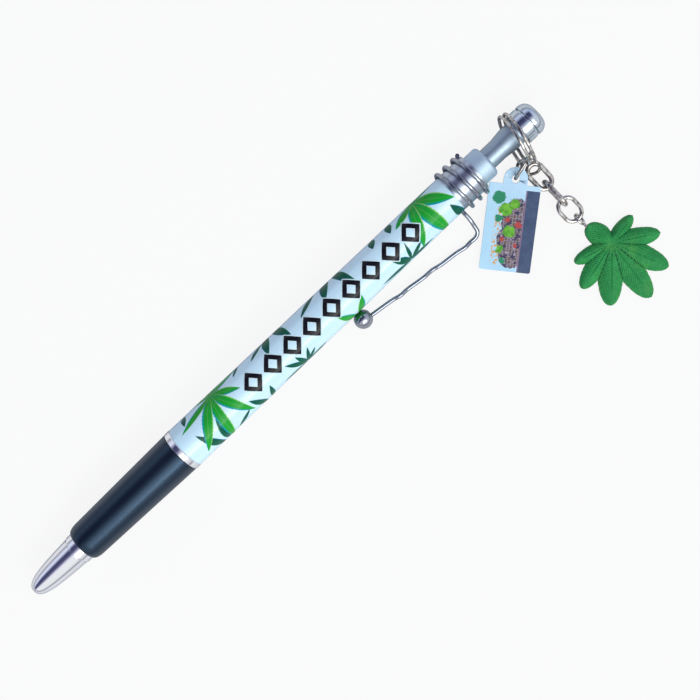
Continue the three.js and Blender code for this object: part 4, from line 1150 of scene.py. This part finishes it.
def table_finish():
    """Near white to the camera. To metal it is patchy white, but for a strip beside the pen."""
    made = Finish("table_white", (0.60, 0.61, 0.62), 0.9)
    path = made.node("ShaderNodeLightPath").outputs
    camera_ray, metal_ray = Amount(made, path["Is Camera Ray"]), Amount(made, path["Is Glossy Ray"])
    clear = made.split(made.place())[1].math("ABSOLUTE").step(7, 16)
    patches = made.noise(14).step(0.35, 0.65)
    share = camera_ray * 0.89 + metal_ray * clear * (patches * 0.3 + 0.5)
    white = made.node("ShaderNodeEmission", {"Color": (1, 1, 1, 1), "Strength": 1.0}).outputs[0]
    both = made.node("ShaderNodeMixShader", {0: share, 1: made.shader.outputs[0], 2: white})
    made.tree.links.new(both.outputs[0], made.tree.nodes["Material Output"].inputs["Surface"])
    return made.material


corners = [
    (TABLE_MIDDLE[0] + a * TABLE_HALF, TABLE_MIDDLE[1] + b * TABLE_HALF, TABLE_HEIGHT - TABLE_GAP)
    for a, b in ((-1, -1), (1, -1), (1, 1), (-1, 1))
]
make_mesh("table", corners, [[0, 1, 2, 3]], table_finish(), smooth=False)
print("table", 2 * TABLE_HALF * MM, "m wide")

# %% Lamps
LAMP_AIM = Vector((-0.07, -0.005, 0))


def soft_lamp(name, place, size, power, colour):
    lamp = bpy.data.lights.new(name, "AREA")
    lamp.shape = "RECTANGLE"
    lamp.size, lamp.size_y = size[0] * MM, size[1] * MM
    lamp.energy = power
    lamp.color = colour
    holder = bpy.data.objects.new(name, lamp)
    scene.collection.objects.link(holder)
    holder.location = Vector(place) * MM
    holder.rotation_mode = "QUATERNION"
    holder.rotation_quaternion = (Vector(place) * MM - LAMP_AIM).to_track_quat("Z", "Y")
    print(name, "of", power, "W")


soft_lamp("large_soft_lamp", (-150, -700, 1040), (1000, 800), 4.7, (1.0, 1.0, 0.96))
soft_lamp("strip_lamp", (-70, -208, 228), (300, 70), 0.24, (0.95, 1.0, 1.0))

# %% [markdown]
# The sky is painted by direction. Across the pen it goes from one horizon over the top to the other:
# bright on the lamp's side, a dark patch above the pen where the photographer leans over it, a bluish
# window on the far side, and dark walls low down. Chrome needs that contrast, and rubber shows it softly.

# %% Sky
SKY_STOPS = [  # degrees from overhead, and the colour there
    (-90, (0.52, 0.51, 0.55)), (-80, (0.42, 0.42, 0.48)), (-76, (0.78, 0.82, 0.84)), (-55, (1.0, 1.0, 0.98)),
    (-12, (0.98, 1.0, 1.0)), (-2, (0.50, 0.49, 0.66)), (10, (0.10, 0.10, 0.20)), (34, (0.05, 0.055, 0.13)),
    (46, (0.40, 0.42, 0.60)), (54, (0.84, 0.88, 1.0)), (72, (0.70, 0.76, 0.95)), (80, (0.48, 0.49, 0.58)),
    (90, (0.50, 0.50, 0.54)),
]
world = bpy.data.worlds.new("studio")
world.use_nodes = True
scene.world = world
sky = Graph(world.node_tree)
to_button, to_window, up = sky.split(sky.node("ShaderNodeTexCoord").outputs["Generated"])
ramp = sky.node("ShaderNodeValToRGB", {0: to_window.math("ARCTAN2", up) / math.pi + 0.5})
while len(ramp.color_ramp.elements) < len(SKY_STOPS):
    ramp.color_ramp.elements.new(0.5)
for element, (angle, colour) in zip(ramp.color_ramp.elements, SKY_STOPS):
    element.position = angle / 180 + 0.5
    element.color = (*colour, 1)
open_sky = sky.blend(to_window.step(-0.6, 0.7), (0.95, 1.0, 0.99), (0.62, 0.68, 0.95))
colour = sky.blend(to_button.step(0.45, 0.7), Amount(sky, ramp.outputs[0]), open_sky)
colour = sky.blend(up.step(0.34, 0.12), colour, (0.44, 0.43, 0.47))
seen = Amount(sky, sky.node("ShaderNodeLightPath").outputs["Is Camera Ray"])
background = world.node_tree.nodes["Background"]
world.node_tree.links.new(sky.blend(seen, colour, (1, 1, 1)).socket, background.inputs["Color"])
background.inputs["Strength"].default_value = 1.0
scene.view_settings.view_transform = "Standard"
print("sky with", len(SKY_STOPS), "stops")
